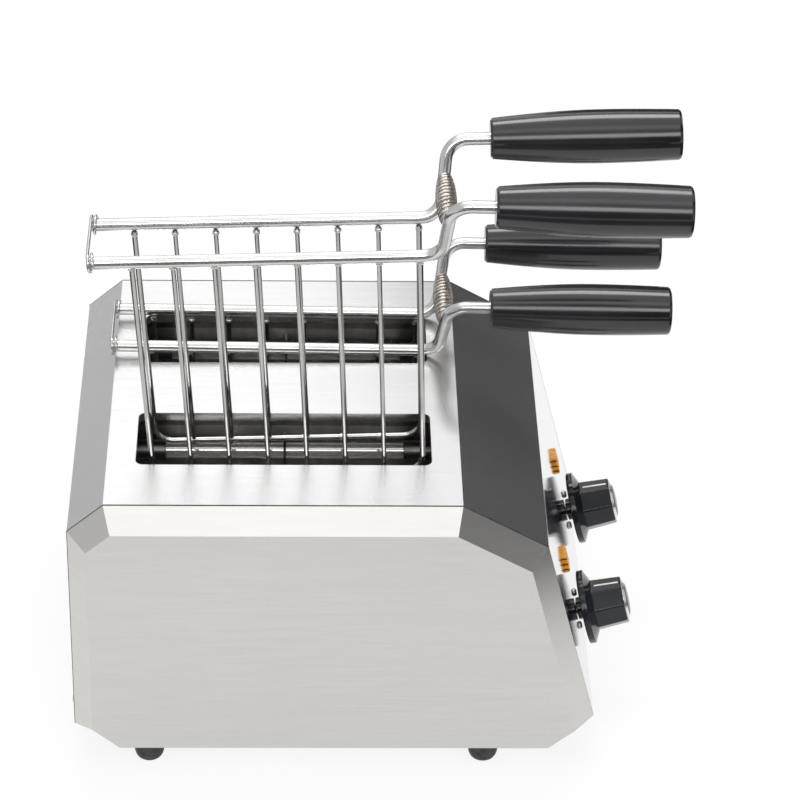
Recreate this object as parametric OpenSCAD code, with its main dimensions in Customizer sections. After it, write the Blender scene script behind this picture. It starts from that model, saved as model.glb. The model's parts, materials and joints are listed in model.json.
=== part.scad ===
// Two-slot sandwich toaster with a pair of spring tongs
// Millimetres; Z up, front towards -Y, left side towards -X, floor at Z = 0

/* [Housing] */
// Width of the folded cover between the two side panels
cover_width = 267; // [250:1:290]
// Height of the top plate above the floor
top_height = 199; // [190:1:215]
// Length of the flat top plate between its folds
top_length = 228; // [222:1:250]
// Run of the chamfer behind the top plate
rear_chamfer_run = 23.5; // [18:0.5:30]
// Drop of the chamfer behind the top plate
rear_chamfer_drop = 20.5; // [15:0.5:26]
// Run of the slope in front of the top plate
slope_run = 55.5; // [45:0.5:65]
// Drop of the slope in front of the top plate
slope_drop = 32; // [24:0.5:40]
// Forward run of the leaning control panel
control_run = 35.5; // [28:0.5:42]
// Height of the control panel's lower edge
control_bottom = 29; // [26:0.5:34]
// Height of the rear wall's lower edge
rear_bottom = 22; // [20:0.5:28]
// Thickness of the housing sheet
sheet = 1.2; // [0.8:0.1:1.5]
// Seam between the cover and a side panel
seam = 0.6; // [0.4:0.1:0.9]

/* [Side panels] */
// Depth of the bevel round a side panel
bevel_depth = 16; // [12:0.5:20]
// Width of the bevel seen from the side
bevel_inset = 12.5; // [10:0.5:15]
// Rise of the cut lower corners
corner_rise = 15; // [12:0.5:18]
// Run of the cut lower corners
corner_run = 17.5; // [14:0.5:20]
// Width of the flange turned in under the base
flange_width = 32; // [30:1:40]

/* [Slots] */
// Length of a slot
slot_length = 191; // [186:1:200]
// Width of a slot
slot_width = 59; // [56:1:64]
// Corner radius of a slot
slot_corner = 5; // [3:0.5:8]
// Distance between the slots' centre lines
slot_spacing = 119.5; // [116:0.5:124]
// Depth of the lip turned down round a slot
lip_depth = 6; // [4:0.5:8]

/* [Feet and fasteners] */
// Height of a rubber foot
foot_height = 14; // [10:0.5:18]
// Diameter of a foot at its top
foot_top_d = 20; // [18:0.5:22]
// Diameter of a foot on the floor
foot_floor_d = 13; // [12:0.5:16]
// Inset of the feet from the side panels
foot_side_inset = 11; // [11:0.5:16]
// Inset of the front feet from the panel's lower front corner
foot_front_inset = 42.5; // [35:0.5:48]
// Inset of the rear feet from the panel's lower rear corner
foot_rear_inset = 19; // [15:0.5:25]
// Diameter of a casing screw's shank
screw_d = 3.8; // [3:0.1:4.2]
// Diameter of a casing screw's head
screw_head_d = 7; // [6:0.5:8]
// Height of a casing screw's head
screw_head_h = 2.2; // [1.6:0.1:3]
// Distance between the casing screws of one side
screw_pitch = 70; // [50:1:80]

/* [Crumb tray] */
// Width of the crumb tray
tray_width = 206; // [190:1:212]
// Height of the tray's walls
tray_height = 15; // [10:0.5:17]
// Thickness of the tray's sheet
tray_sheet = 0.8; // [0.6:0.1:1.2]
// Reach of the tray's pull behind the rear wall
pull_reach = 7; // [6:0.5:14]

/* [Heaters] */
// Outer diameter of a quartz tube
tube_d = 11; // [9:0.5:12]
// Wall of a quartz tube
tube_wall = 1.2; // [0.8:0.1:1.5]
// Depth of the top tubes below the top plate
tube_depth = 38; // [32:0.5:44]
// Height of the lowest tubes above the crumb tray's opening
tube_rise = 35.5; // [32:0.5:40]
// Gap between a slot's edge and the tubes' centre line
tube_offset = 12; // [10:0.5:14]
// Gap between the tubes' centre line and their reflector
reflector_offset = 10.5; // [8:0.5:11]
// Thickness of the reflectors and bulkheads
inner_sheet = 0.8; // [0.6:0.1:1.2]
// Gap between a slot's front end and the front bulkhead
front_bulkhead_gap = 14; // [12:0.5:16]
// Gap between a slot's rear end and the rear bulkhead
rear_bulkhead_gap = 8; // [6:0.5:10]
// Depth of a ceramic tube holder
holder_depth = 10; // [8:0.5:12]

/* [Controls] */
// Distance between the two knobs
control_spacing = 114; // [105:0.5:124]
// Distance of the knobs below the slope's fold, along the panel
knob_drop = 112; // [106:0.5:114]
// Distance of the lamps below the slope's fold, along the panel
lamp_drop = 69; // [60:0.5:76]
// Diameter of a knob's flange
knob_flange_d = 50; // [44:0.5:52]
// Thickness of a knob's flange
knob_flange_h = 4.5; // [3:0.1:5]
// Gap between the panel and a knob's flange
knob_stand = 4.5; // [2.5:0.1:5]
// Diameter of a knob's grip at the flange
knob_grip_d = 36; // [32:0.5:38]
// Diameter of a knob's grip at its end
knob_end_d = 32.5; // [28:0.5:34]
// Length of a knob from flange to end
knob_length = 28.5; // [25:0.5:32]
// Diameter of a timer's shaft
shaft_d = 6; // [5:0.5:8]
// Edge of a timer's square body
timer_edge = 42; // [36:1:46]
// Depth of a timer's body
timer_depth = 32; // [26:1:40]
// Width and height of a lamp's lens
lamp_edge = 13; // [11:0.5:15]
// Reach of a lamp's lens in front of the panel
lamp_reach = 3; // [2:0.1:4]

/* [Tongs] */
// Diameter of a tong rod
rod_d = 8; // [7:0.5:8]
// Distance between the two rails of a tong
rail_spacing = 46; // [43:0.5:47]
// Length of a rail from its rear end to the neck
rail_length = 219.5; // [216:0.5:226]
// Reach of the lifted tong's rails behind the rear fold
rail_overhang = 7.5; // [7:0.1:9]
// Radius of the rod's bends
rod_bend = 14; // [11:0.5:16]
// Height of the handles above the rails
neck_rise = 46; // [42:0.5:54]
// Outward spread of each neck
neck_spread = 18; // [15:0.5:21]
// Forward lean of a neck
neck_lean = 6; // [4:0.5:10]
// Bare rod between the neck and the handle
handle_gap = 26.5; // [24:0.5:34]
// Length of a handle
handle_length = 120; // [105:1:125]
// Diameter of a handle at the rod
handle_start_d = 26; // [22:0.5:28]
// Largest diameter of a handle
handle_swell_d = 34; // [30:0.5:36]
// Diameter of a handle at its free end
handle_end_d = 32; // [28:0.5:34]
// Length of the rod held inside a handle
rod_in_handle = 66; // [50:1:80]
// Diameter of a cage's frame wire
frame_wire_d = 3.6; // [3:0.1:4]
// Diameter of a cage's upright wires
wire_d = 3; // [2.5:0.1:3.4]
// Number of uprights in a cage, the frame's two legs included
wire_count = 8; // [6:1:9]
// Distance between the uprights of a cage
wire_pitch = 25.6; // [24:0.1:26]
// Distance of the first upright from the rail's rear end
first_wire = 27; // [26:0.5:29]
// Inward offset of a cage from its rail
cage_inset = 3; // [2:0.1:3.4]
// Depth of the cage's bottom wire below the rail
cage_depth = 164; // [150:1:165]
// Length of a cage's bottom as a share of its top
cage_taper = 0.97; // [0.94:0.01:1]
// Corner radius of a cage's frame
cage_corner = 12; // [8:0.5:14]
// Reach of the upright wires below the bottom wire
wire_tip = 2.5; // [1.5:0.1:3]
// Height to which the left tong is lifted
left_tong_lift = 142.5; // [0:0.5:160]
// Upward tilt of the left tong's handles, in degrees
left_tong_tilt = 1.8; // [0:0.1:3]
// Droop of the left tong's left handle, in degrees
held_droop = 3; // [0:0.1:4]

/* [Spring and link] */
// Number of turns of a tong spring
spring_turns = 13; // [9:1:14]
// Diameter of the spring's wire
spring_wire_d = 1.8; // [1.4:0.1:2]
// Outer diameter of the spring's middle
spring_mid_d = 13.5; // [11:0.5:16]
// Outer diameter of the spring's ends
spring_end_d = 8; // [7:0.5:9]
// Diameter of the link's wire
link_wire_d = 2.2; // [1.8:0.1:2.4]
// Turns of the link round the right rail
link_turns = 1.25; // [1.25:1:2.25]

/* [Clearances] */
// Resting gap under the rails and the tray
seat_gap = 0.3; // [0.2:0.05:0.5]
// Radial gap of a turning fit
turn_gap = 0.05; // [0.02:0.01:0.1]
// Radial gap round a fixed piece in its hole
hole_gap = 0.2; // [0.1:0.05:0.3]
// Radial gap between the link and a rail
link_gap = 0.45; // [0.4:0.05:0.6]
// Gap between two turns of the link
link_turn_gap = 0.45; // [0.42:0.01:0.6]
// Side gap of the crumb tray
tray_gap = 0.5; // [0.3:0.1:1]
// Gap between a seated cage and its slot's outer edge
cage_side_gap = 4.7; // [3:0.1:6]
// Gap between a seated cage and its slot's rear edge
cage_rear_gap = 3.7; // [3:0.1:5]

/* [Hidden] */
$fn = 48;

// Places along the depth, with the whole part centred on the frame's origin
front_reach = rear_chamfer_run - rail_overhang + rail_length + neck_lean + handle_gap + handle_length;
rear_y = (front_reach - pull_reach) / 2;
rear_fold_y = rear_y - rear_chamfer_run;
front_fold_y = rear_fold_y - top_length;
slope_fold_y = front_fold_y - slope_run;
control_bottom_y = slope_fold_y - control_run;
slope_fold_z = top_height - slope_drop;
slot_y = (rear_fold_y + front_fold_y) / 2;
slot_front_y = slot_y - slot_length / 2;
slot_rear_y = slot_y + slot_length / 2;
slot_xs = [-slot_spacing / 2, slot_spacing / 2];
control_xs = [-control_spacing / 2, control_spacing / 2];
sides = [-1, 1];
overcut = 1;

// The cover's outline seen from the side, from the rear wall's foot over the top to the control panel's foot
outline = [
    [rear_y, rear_bottom],
    [rear_y, top_height - rear_chamfer_drop],
    [rear_fold_y, top_height],
    [front_fold_y, top_height],
    [slope_fold_y, slope_fold_z],
    [control_bottom_y, control_bottom]
];

function direction(p, q) = (q - p) / norm(q - p);
function left_of(d) = [-d[1], d[0]];
function crossing(p, d, q, e) = p + d * cross(q - p, e) / cross(d, e);
function step_dir(path, i) = direction(path[i], path[i + 1]);
function shifted(path, i, k, depth) = path[i] + left_of(step_dir(path, k)) * depth;
function at_height(p, q, z) = p + (q - p) * (z - p[1]) / (q[1] - p[1]);
function reversed(list) = [for (i = [len(list) - 1 : -1 : 0]) list[i]];

// A folded line moved sideways by the depth, with its corners kept sharp
function inset(path, depth) = [
    for (i = [0 : len(path) - 1])
        i == 0 ? shifted(path, 0, 0, depth)
        : i == len(path) - 1 ? shifted(path, i, i - 1, depth)
        : crossing(shifted(path, i, i - 1, depth), step_dir(path, i - 1),
                   shifted(path, i, i, depth), step_dir(path, i))
];

// A sheet folded along a side view path
module folded_sheet(path, thickness, width) {
    rotate([90, 0, 90])
        linear_extrude(height = width, center = true)
            polygon(concat(path, reversed(inset(path, thickness))));
}

module rounded_rectangle(width, length, corner) {
    square([width - 2 * corner, length], center = true);
    square([width, length - 2 * corner], center = true);
    for (x = sides, y = sides)
        translate([x * (width / 2 - corner), y * (length / 2 - corner)])
            circle(r = corner);
}

module box_at(centre, size) {
    translate(centre)
        cube(size, center = true);
}

// Side panel values
panel_face_x = cover_width / 2 + seam + bevel_depth;
panel_rim_x = cover_width / 2 + seam;
panel_bottom = foot_height;
bevel_slant = norm([bevel_inset, bevel_depth]);
rim_inner_inset = sheet * bevel_slant / bevel_depth;
face_inner_inset = bevel_inset + sheet * (bevel_slant - bevel_inset) / bevel_depth;
last = len(outline) - 1;

// The flat face's outline at an inset, with its two cut lower corners
function face_path(depth) =
    let (chain = inset(outline, depth),
         rear_low = [chain[0][0], panel_bottom + corner_rise],
         front_low = at_height(chain[last - 1], chain[last], panel_bottom + corner_rise))
    concat([rear_low], [for (i = [1 : last - 1]) chain[i]], [front_low],
           [[front_low[0] + corner_run, panel_bottom], [rear_low[0] - corner_run, panel_bottom]]);

face_outer = face_path(bevel_inset);
face_inner = face_path(face_inner_inset);
corner_front_y = face_outer[last + 1][0];
corner_rear_y = face_outer[last + 2][0];

// A dished panel with a bevel on all edges but the lower ones, its face towards +X
module side_panel_shell() {
    rim_outer = outline;
    rim_inner = inset(outline, rim_inner_inset);
    n = len(outline);
    m = len(face_outer);
    points = concat(
        [for (p = face_outer) [panel_face_x, p[0], p[1]]],
        [for (p = face_inner) [panel_face_x - sheet, p[0], p[1]]],
        [for (p = rim_outer) [panel_rim_x, p[0], p[1]]],
        [for (p = rim_inner) [panel_rim_x, p[0], p[1]]]
    );
    inner = m;
    rim = 2 * m;
    lip = 2 * m + n;
    faces = concat(
        [[for (i = [m - 1 : -1 : 0]) i]],
        [[for (i = [0 : m - 1]) inner + i]],
        [for (i = [0 : n - 2]) [i, i + 1, rim + i + 1, rim + i]],
        [for (i = [0 : n - 2]) [rim + i, rim + i + 1, lip + i + 1, lip + i]],
        [for (i = [0 : n - 2]) [lip + i, lip + i + 1, inner + i + 1, inner + i]],
        [for (i = [n - 1 : m - 2]) [i, i + 1, inner + i + 1, inner + i]],
        [[m - 1, 0, inner, inner + m - 1]],
        [[0, rim, lip], [0, lip, inner]],
        [[n - 1, lip + n - 1, rim + n - 1], [n - 1, inner + n - 1, lip + n - 1]]
    );
    polyhedron(points = points, faces = faces);
}

// Fastener places
screw_x = panel_face_x - flange_width / 2 - bevel_depth / 2;
screw_mid_y = (corner_front_y + corner_rear_y) / 2;
screw_ys = [screw_mid_y - screw_pitch, screw_mid_y, screw_mid_y + screw_pitch];
foot_x = panel_face_x - foot_side_inset;
foot_front_y = corner_front_y + foot_front_inset;
foot_rear_y = corner_rear_y - foot_rear_inset;
foot_ys = [foot_front_y, foot_rear_y];
hole_r = screw_d / 2 + hole_gap;

module screw_holes(depth) {
    for (x = sides, y = screw_ys)
        translate([x * screw_x, y, panel_bottom - overcut])
            cylinder(r = hole_r, h = depth + 2 * overcut);
    for (x = sides, y = foot_ys)
        translate([x * foot_x, y, panel_bottom - overcut])
            cylinder(r = hole_r, h = depth + 2 * overcut);
}

// Right side panel with its flange turned in under the base pan
module right_panel_solid() {
    flange_y = corner_rear_y - corner_front_y;
    difference() {
        union() {
            side_panel_shell();
            translate([panel_face_x - flange_width, corner_front_y, panel_bottom])
                cube([flange_width - sheet, flange_y, sheet]);
        }
        screw_holes(sheet);
    }
}

module right_side_panel() {
    color("lightgrey")
        right_panel_solid();
}

module left_side_panel() {
    color("lightgrey")
        mirror([1, 0, 0])
            right_panel_solid();
}

// Control panel place, with the local Z axis along the panel's outward normal
control_lean = atan(control_run / (slope_fold_z - control_bottom));

module on_control_panel(x, drop) {
    translate([x, slope_fold_y, slope_fold_z])
        rotate([90 - control_lean, 0, 0])
            translate([0, -drop, 0])
                children();
}

// Timer fixing and lamp places
timer_screw_d = 3;
timer_screw_place = [10.5, 6];
timer_screw_head_d = 5.4;
timer_screw_head_h = 1.8;
timer_screw_length = 9;
timer_screw_tip_gap = 1;
timer_screw_taper = 1.4;
shaft_hole_gap = 1.5;
lamp_neck = 10.5;

module timer_screw_spots() {
    for (s = sides)
        translate([s * timer_screw_place[0], s * timer_screw_place[1], 0])
            children();
}

module control_holes(x) {
    on_control_panel(x, knob_drop) {
        cylinder(d = shaft_d + 2 * shaft_hole_gap, h = 4 * sheet, center = true);
        timer_screw_spots()
            cylinder(d = timer_screw_d + 2 * hole_gap, h = 4 * sheet, center = true);
    }
    on_control_panel(x, lamp_drop)
        cube([lamp_neck + 2 * hole_gap, lamp_neck + 2 * hole_gap, 4 * sheet], center = true);
}

// Rear wall openings
tray_top = panel_bottom + 2 * sheet + seat_gap + tray_height;
tray_door_margin = 2;
rear_opening_width = tray_width + 2 * tray_gap;
rear_opening_top = tray_top + 2 * tray_door_margin;
gland_x = 86;
gland_z = 78;
gland_d = 16;
vent_length = 30;
vent_width = 4;
vent_pitch = 12;
vent_count = 9;
least_flat = 0.02;
vent_z = 138;
rear_screw_rise = 8;
rear_screw_z = rear_bottom + rear_screw_rise;
rear_screw_x = (tray_width + cover_width) / 4 + tray_gap;

module rear_wall_cuts() {
    box_at([0, rear_y, rear_opening_top / 2], [rear_opening_width, 4 * sheet, rear_opening_top]);
    translate([gland_x, rear_y, gland_z])
        rotate([90, 0, 0])
            cylinder(d = gland_d, h = 4 * sheet, center = true);
    for (i = [0 : vent_count - 1])
        translate([(i - (vent_count - 1) / 2) * vent_pitch, rear_y, vent_z])
            rotate([90, 0, 0])
                linear_extrude(height = 4 * sheet, center = true)
                    rounded_rectangle(vent_width, vent_length, (vent_width - least_flat) / 2);
    for (x = sides)
        translate([x * rear_screw_x, rear_y, rear_screw_z])
            rotate([90, 0, 0])
                cylinder(r = hole_r, h = 6 * sheet, center = true);
}

// One folded sheet makes the rear wall, the top with its two slots, the slope and the control panel
module top_cover() {
    color("silver")
        difference() {
            union() {
                folded_sheet(outline, sheet, cover_width);
                for (x = slot_xs)
                    translate([x, slot_y, top_height - lip_depth])
                        linear_extrude(height = lip_depth)
                            rounded_rectangle(slot_width + 2 * sheet, slot_length + 2 * sheet, slot_corner + sheet);
            }
            for (x = slot_xs)
                translate([x, slot_y, top_height - lip_depth - overcut])
                    linear_extrude(height = lip_depth + 2 * overcut)
                        rounded_rectangle(slot_width, slot_length, slot_corner);
            for (x = control_xs)
                control_holes(x);
            rear_wall_cuts();
        }
}

// Base pan values
pan_bottom = panel_bottom + sheet;
pan_top = pan_bottom + sheet;
pan_side_gap = 1;
pan_half = cover_width / 2 - pan_side_gap;
pan_upstand = 16;
timer_room = 1;
cover_inner = inset(outline, sheet);
tab_gap = 2;
tab_inner_x = rear_opening_width / 2 + tab_gap;
runner_height = 8;
pan_vent_count = 7;
pan_vent_pitch = 16;
pan_vent_length = 34;
pan_vent_width = 5;

module pan_folds() {
    control_top = at_height(cover_inner[last - 1], cover_inner[last], control_bottom + pan_upstand);
    control_foot = at_height(cover_inner[last - 1], cover_inner[last], control_bottom);
    front_path = [control_top, control_foot, [corner_front_y, pan_bottom], [corner_rear_y, pan_bottom]];
    folded_sheet(front_path, sheet, 2 * pan_half);
    rear_path = [
        [corner_rear_y - pan_upstand, pan_bottom],
        [corner_rear_y, pan_bottom],
        [rear_y - sheet, rear_bottom],
        [rear_y - sheet, rear_bottom + pan_upstand]
    ];
    for (x = sides)
        translate([x * (tab_inner_x + pan_half) / 2, 0, 0])
            folded_sheet(rear_path, sheet, pan_half - tab_inner_x);
}

module base_pan() {
    runner_x = tray_width / 2 + tray_gap + sheet / 2;
    runner_length = corner_rear_y - tray_front_y;
    color("gainsboro")
        difference() {
            union() {
                pan_folds();
                for (x = sides)
                    box_at([x * runner_x, corner_rear_y - runner_length / 2, pan_top + runner_height / 2 - sheet / 2],
                           [sheet, runner_length, runner_height + sheet]);
            }
            screw_holes(4 * sheet);
            for (x = control_xs)
                on_control_panel(x, knob_drop)
                    translate([0, 0, -sheet - timer_depth / 2])
                        cube([timer_edge + 2 * timer_room, timer_edge + 2 * timer_room, timer_depth + 2 * timer_room],
                             center = true);
            for (x = sides)
                translate([x * rear_screw_x, rear_y, rear_screw_z])
                    rotate([90, 0, 0])
                        cylinder(r = hole_r, h = 8 * sheet, center = true);
            for (i = [0 : pan_vent_count - 1])
                translate([(i - (pan_vent_count - 1) / 2) * pan_vent_pitch, vent_row_y, pan_bottom - overcut])
                    linear_extrude(height = sheet + 2 * overcut)
                        rounded_rectangle(pan_vent_width, pan_vent_length, (pan_vent_width - least_flat) / 2);
        }
}

// Rubber foot with a rounded lower edge and a sunk screw
foot_screw_sink = 8;
foot_sink_d = 8.5;
foot_round = 8;
foot_steps = 6;
foot_profile = concat(
    [[0, 0]],
    [for (i = [0 : foot_steps])
        let (a = 90 * i / foot_steps)
        [foot_floor_d / 2 + (foot_top_d - foot_floor_d) / 2 * sin(a), foot_round * (1 - cos(a))]],
    [[foot_top_d / 2, foot_height], [0, foot_height]]
);

module foot(x, y) {
    color("dimgray")
        translate([x * foot_x, y, 0])
            difference() {
                rotate_extrude()
                    polygon(foot_profile);
                translate([0, 0, -overcut])
                    cylinder(d = foot_sink_d, h = foot_screw_sink + overcut);
                translate([0, 0, -overcut])
                    cylinder(r = hole_r, h = foot_height + 2 * overcut);
            }
}

module front_left_foot() foot(-1, foot_front_y);
module front_right_foot() foot(1, foot_front_y);
module rear_left_foot() foot(-1, foot_rear_y);
module rear_right_foot() foot(1, foot_rear_y);

// A screw with its head below the origin and its shank upwards
screw_past = 3;
screw_head_taper = 1.6;

module pan_head_screw(shank) {
    cylinder(d = screw_d, h = shank);
    translate([0, 0, -screw_head_h])
        cylinder(d1 = screw_head_d - screw_head_taper, d2 = screw_head_d, h = screw_head_h);
}

module foot_screws() {
    color("darkgray")
        for (x = sides, y = foot_ys)
            translate([x * foot_x, y, foot_screw_sink])
                pan_head_screw(pan_top + screw_past - foot_screw_sink);
}

module casing_screws() {
    color("darkgray") {
        for (x = sides, y = screw_ys)
            translate([x * screw_x, y, panel_bottom])
                pan_head_screw(2 * sheet + screw_past);
        for (x = sides)
            translate([x * rear_screw_x, rear_y, rear_screw_z])
                rotate([90, 0, 0])
                    pan_head_screw(2 * sheet + screw_past);
    }
}

// Crumb tray that slides out under the rear wall
tray_past_slot = 4;
tray_front_y = slot_front_y - tray_past_slot;
tray_bottom = pan_top + seat_gap;
door_thickness = 1.2;
pull_lip = 6;
vent_row_y = (tray_front_y + corner_front_y) / 2;

module crumb_tray() {
    tray_length = rear_y - tray_front_y;
    door_width = rear_opening_width - 2 * tray_gap;
    door_top = rear_opening_top - tray_door_margin;
    color("lightsteelblue")
        union() {
            difference() {
                translate([-tray_width / 2, tray_front_y, tray_bottom])
                    cube([tray_width, tray_length, tray_height]);
                translate([-tray_width / 2 + tray_sheet, tray_front_y + tray_sheet, tray_bottom + tray_sheet])
                    cube([tray_width - 2 * tray_sheet, tray_length - 2 * tray_sheet, tray_height]);
            }
            translate([-door_width / 2, rear_y - door_thickness, tray_bottom])
                cube([door_width, door_thickness, door_top - tray_bottom]);
            translate([-door_width / 4, rear_y - door_thickness, door_top - door_thickness])
                cube([door_width / 2, pull_reach + door_thickness, door_thickness]);
            translate([-door_width / 4, rear_y + pull_reach - door_thickness, door_top - pull_lip])
                cube([door_width / 2, door_thickness, pull_lip]);
        }
}

// Heater banks: one on each side of each slot
bank_gap = slot_width / 2 + tube_offset;
bank_xs = [slot_xs[0] - bank_gap, slot_xs[0] + bank_gap, slot_xs[1] - bank_gap, slot_xs[1] + bank_gap];
bank_out = [-1, 1, -1, 1];
tubes_in_bank = 3;
tube_pitch = (top_height - tube_depth - rear_opening_top - tube_rise) / (tubes_in_bank - 1);
tube_zs = [for (i = [0 : tubes_in_bank - 1]) top_height - tube_depth - i * tube_pitch];
bank_mid_z = (tube_zs[0] + tube_zs[tubes_in_bank - 1]) / 2;
bank_height = tube_zs[0] - tube_zs[tubes_in_bank - 1];
bulkhead_front_y = slot_front_y - front_bulkhead_gap;
bulkhead_rear_y = slot_rear_y + rear_bulkhead_gap;
tube_end_past = 3;
tube_front_y = bulkhead_front_y - inner_sheet - holder_depth - tube_end_past;
tube_rear_y = bulkhead_rear_y + inner_sheet + holder_depth + tube_end_past;
tube_length = tube_rear_y - tube_front_y;
coil_gap = 0.3;
coil_d = tube_d - 2 * tube_wall - 2 * coil_gap;
terminal_pin_d = 2.6;
terminal_pin_past = 9;
bulkhead_foot = 14;

module tube_places(x, y) {
    for (z = tube_zs)
        translate([x, y, z])
            rotate([-90, 0, 0])
                children();
}

module bulkhead(inner_y, facing) {
    bulkhead_top = top_height - sheet;
    leg_width = pan_half - rear_opening_width / 2 - sheet;
    start_y = facing > 0 ? inner_y : inner_y - inner_sheet;
    color("lightgray")
        difference() {
            union() {
                translate([-pan_half, start_y, pan_top])
                    cube([2 * pan_half, inner_sheet, bulkhead_top - pan_top]);
                for (x = sides)
                    box_at([x * (pan_half - leg_width / 2), start_y + inner_sheet - bulkhead_foot / 2,
                            pan_top + inner_sheet / 2],
                           [leg_width, bulkhead_foot, inner_sheet]);
            }
            translate([leg_width - pan_half, start_y - overcut, pan_top - overcut])
                cube([2 * (pan_half - leg_width), inner_sheet + 2 * overcut, rear_opening_top - pan_top + overcut]);
            for (x = bank_xs)
                tube_places(x, inner_y - 2 * inner_sheet)
                    cylinder(d = tube_d + 2 * hole_gap, h = 4 * inner_sheet);
        }
}

module front_bulkhead() bulkhead(bulkhead_front_y, -1);
module rear_bulkhead() bulkhead(bulkhead_rear_y, 1);

// Reflector sheet behind a bank, with its long edges turned towards the tubes
reflector_edge = 16;
reflector_hem = 7;
reflector_floor_gap = 4;
reflector_lip_gap = 2;
reflector_bottom = rear_opening_top + reflector_floor_gap;
reflector_top = top_height - sheet - lip_depth - reflector_lip_gap;

module reflector(bank) {
    out = bank_out[bank];
    x = bank_xs[bank] + out * reflector_offset;
    path = [
        [x - out * reflector_hem, reflector_bottom],
        [x, reflector_bottom + reflector_edge],
        [x, reflector_top - reflector_edge],
        [x - out * reflector_hem, reflector_top]
    ];
    color("whitesmoke")
        translate([0, bulkhead_rear_y, 0])
            rotate([90, 0, 0])
                linear_extrude(height = bulkhead_rear_y - bulkhead_front_y)
                    polygon(concat(path, reversed(inset(path, -out * inner_sheet))));
}

module reflector_1() reflector(0);
module reflector_2() reflector(1);
module reflector_3() reflector(2);
module reflector_4() reflector(3);

module quartz_tubes(bank) {
    color("lightcyan")
        tube_places(bank_xs[bank], tube_front_y)
            difference() {
                cylinder(d = tube_d, h = tube_length);
                translate([0, 0, -overcut])
                    cylinder(d = tube_d - 2 * tube_wall, h = tube_length + 2 * overcut);
            }
}

module quartz_tubes_1() quartz_tubes(0);
module quartz_tubes_2() quartz_tubes(1);
module quartz_tubes_3() quartz_tubes(2);
module quartz_tubes_4() quartz_tubes(3);

module heating_coils(bank) {
    color("orangered")
        tube_places(bank_xs[bank], tube_front_y) {
            translate([0, 0, terminal_pin_past])
                cylinder(d = coil_d, h = tube_length - 2 * terminal_pin_past);
            translate([0, 0, -terminal_pin_past])
                cylinder(d = terminal_pin_d, h = tube_length + 2 * terminal_pin_past);
        }
}

module heating_coils_1() heating_coils(0);
module heating_coils_2() heating_coils(1);
module heating_coils_3() heating_coils(2);
module heating_coils_4() heating_coils(3);

// Ceramic blocks that hold the tubes' ends on the bulkheads
holder_side_wall = 3.5;
holder_end_wall = 4.5;
holder_width = tube_d + 2 * holder_side_wall;
holder_height = bank_height + tube_d + 2 * holder_end_wall;

module tube_holder(x, start_y) {
    difference() {
        box_at([x, start_y + holder_depth / 2, bank_mid_z], [holder_width, holder_depth, holder_height]);
        tube_places(x, start_y - overcut)
            cylinder(d = tube_d + 2 * hole_gap, h = holder_depth + 2 * overcut);
    }
}

module tube_holders() {
    color("linen")
        for (x = bank_xs) {
            tube_holder(x, bulkhead_front_y - inner_sheet - holder_depth);
            tube_holder(x, bulkhead_rear_y + inner_sheet);
        }
}

// Thin straps that hold the tubes at half length, fixed to the reflectors
support_thickness = 1.5;
support_edge = 8;
support_lip = 2;

module tube_support(bank) {
    out = bank_out[bank];
    depth = reflector_offset + tube_d / 2 + support_lip;
    difference() {
        box_at([bank_xs[bank] + out * (reflector_offset - depth / 2), slot_y, bank_mid_z],
               [depth, support_thickness, bank_height + 2 * support_edge]);
        tube_places(bank_xs[bank], slot_y - support_thickness)
            cylinder(d = tube_d + 2 * hole_gap, h = 2 * support_thickness);
    }
}

module tube_supports() {
    color("gray")
        for (bank = [0 : 3])
            tube_support(bank);
}

// Timer behind the control panel, with the shaft that carries a knob
shaft_in_knob = 17;

module timer(x) {
    color("ivory")
        on_control_panel(x, knob_drop)
            difference() {
                union() {
                    translate([0, 0, -sheet - timer_depth / 2])
                        cube([timer_edge, timer_edge, timer_depth], center = true);
                    translate([0, 0, -sheet])
                        cylinder(d = shaft_d, h = sheet + knob_stand + shaft_in_knob);
                }
                timer_screw_spots()
                    translate([0, 0, -sheet - timer_screw_length])
                        cylinder(d = timer_screw_d + 2 * hole_gap, h = timer_screw_length + sheet);
            }
}

module left_timer() timer(control_xs[0]);
module right_timer() timer(control_xs[1]);

module timer_screws() {
    color("darkgray")
        for (x = control_xs)
            on_control_panel(x, knob_drop)
                timer_screw_spots() {
                    translate([0, 0, timer_screw_tip_gap - timer_screw_length])
                        cylinder(d = timer_screw_d, h = timer_screw_length - timer_screw_tip_gap);
                    cylinder(d1 = timer_screw_head_d, d2 = timer_screw_head_d - timer_screw_taper,
                             h = timer_screw_head_h);
                }
}

// Timer knob: a collar, a flange with a coned front and a tapered eight-sided grip
knob_collar_d = 15;
knob_collar_gap = 0.5;
knob_cone_h = 4;
knob_cone_sink = 2;
knob_grip_sink = 3;
knob_edge = 0.8;
knob_facets = 8;
cap_d = 22;
cap_sink = 1.2;
cap_proud = 0.3;

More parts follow.
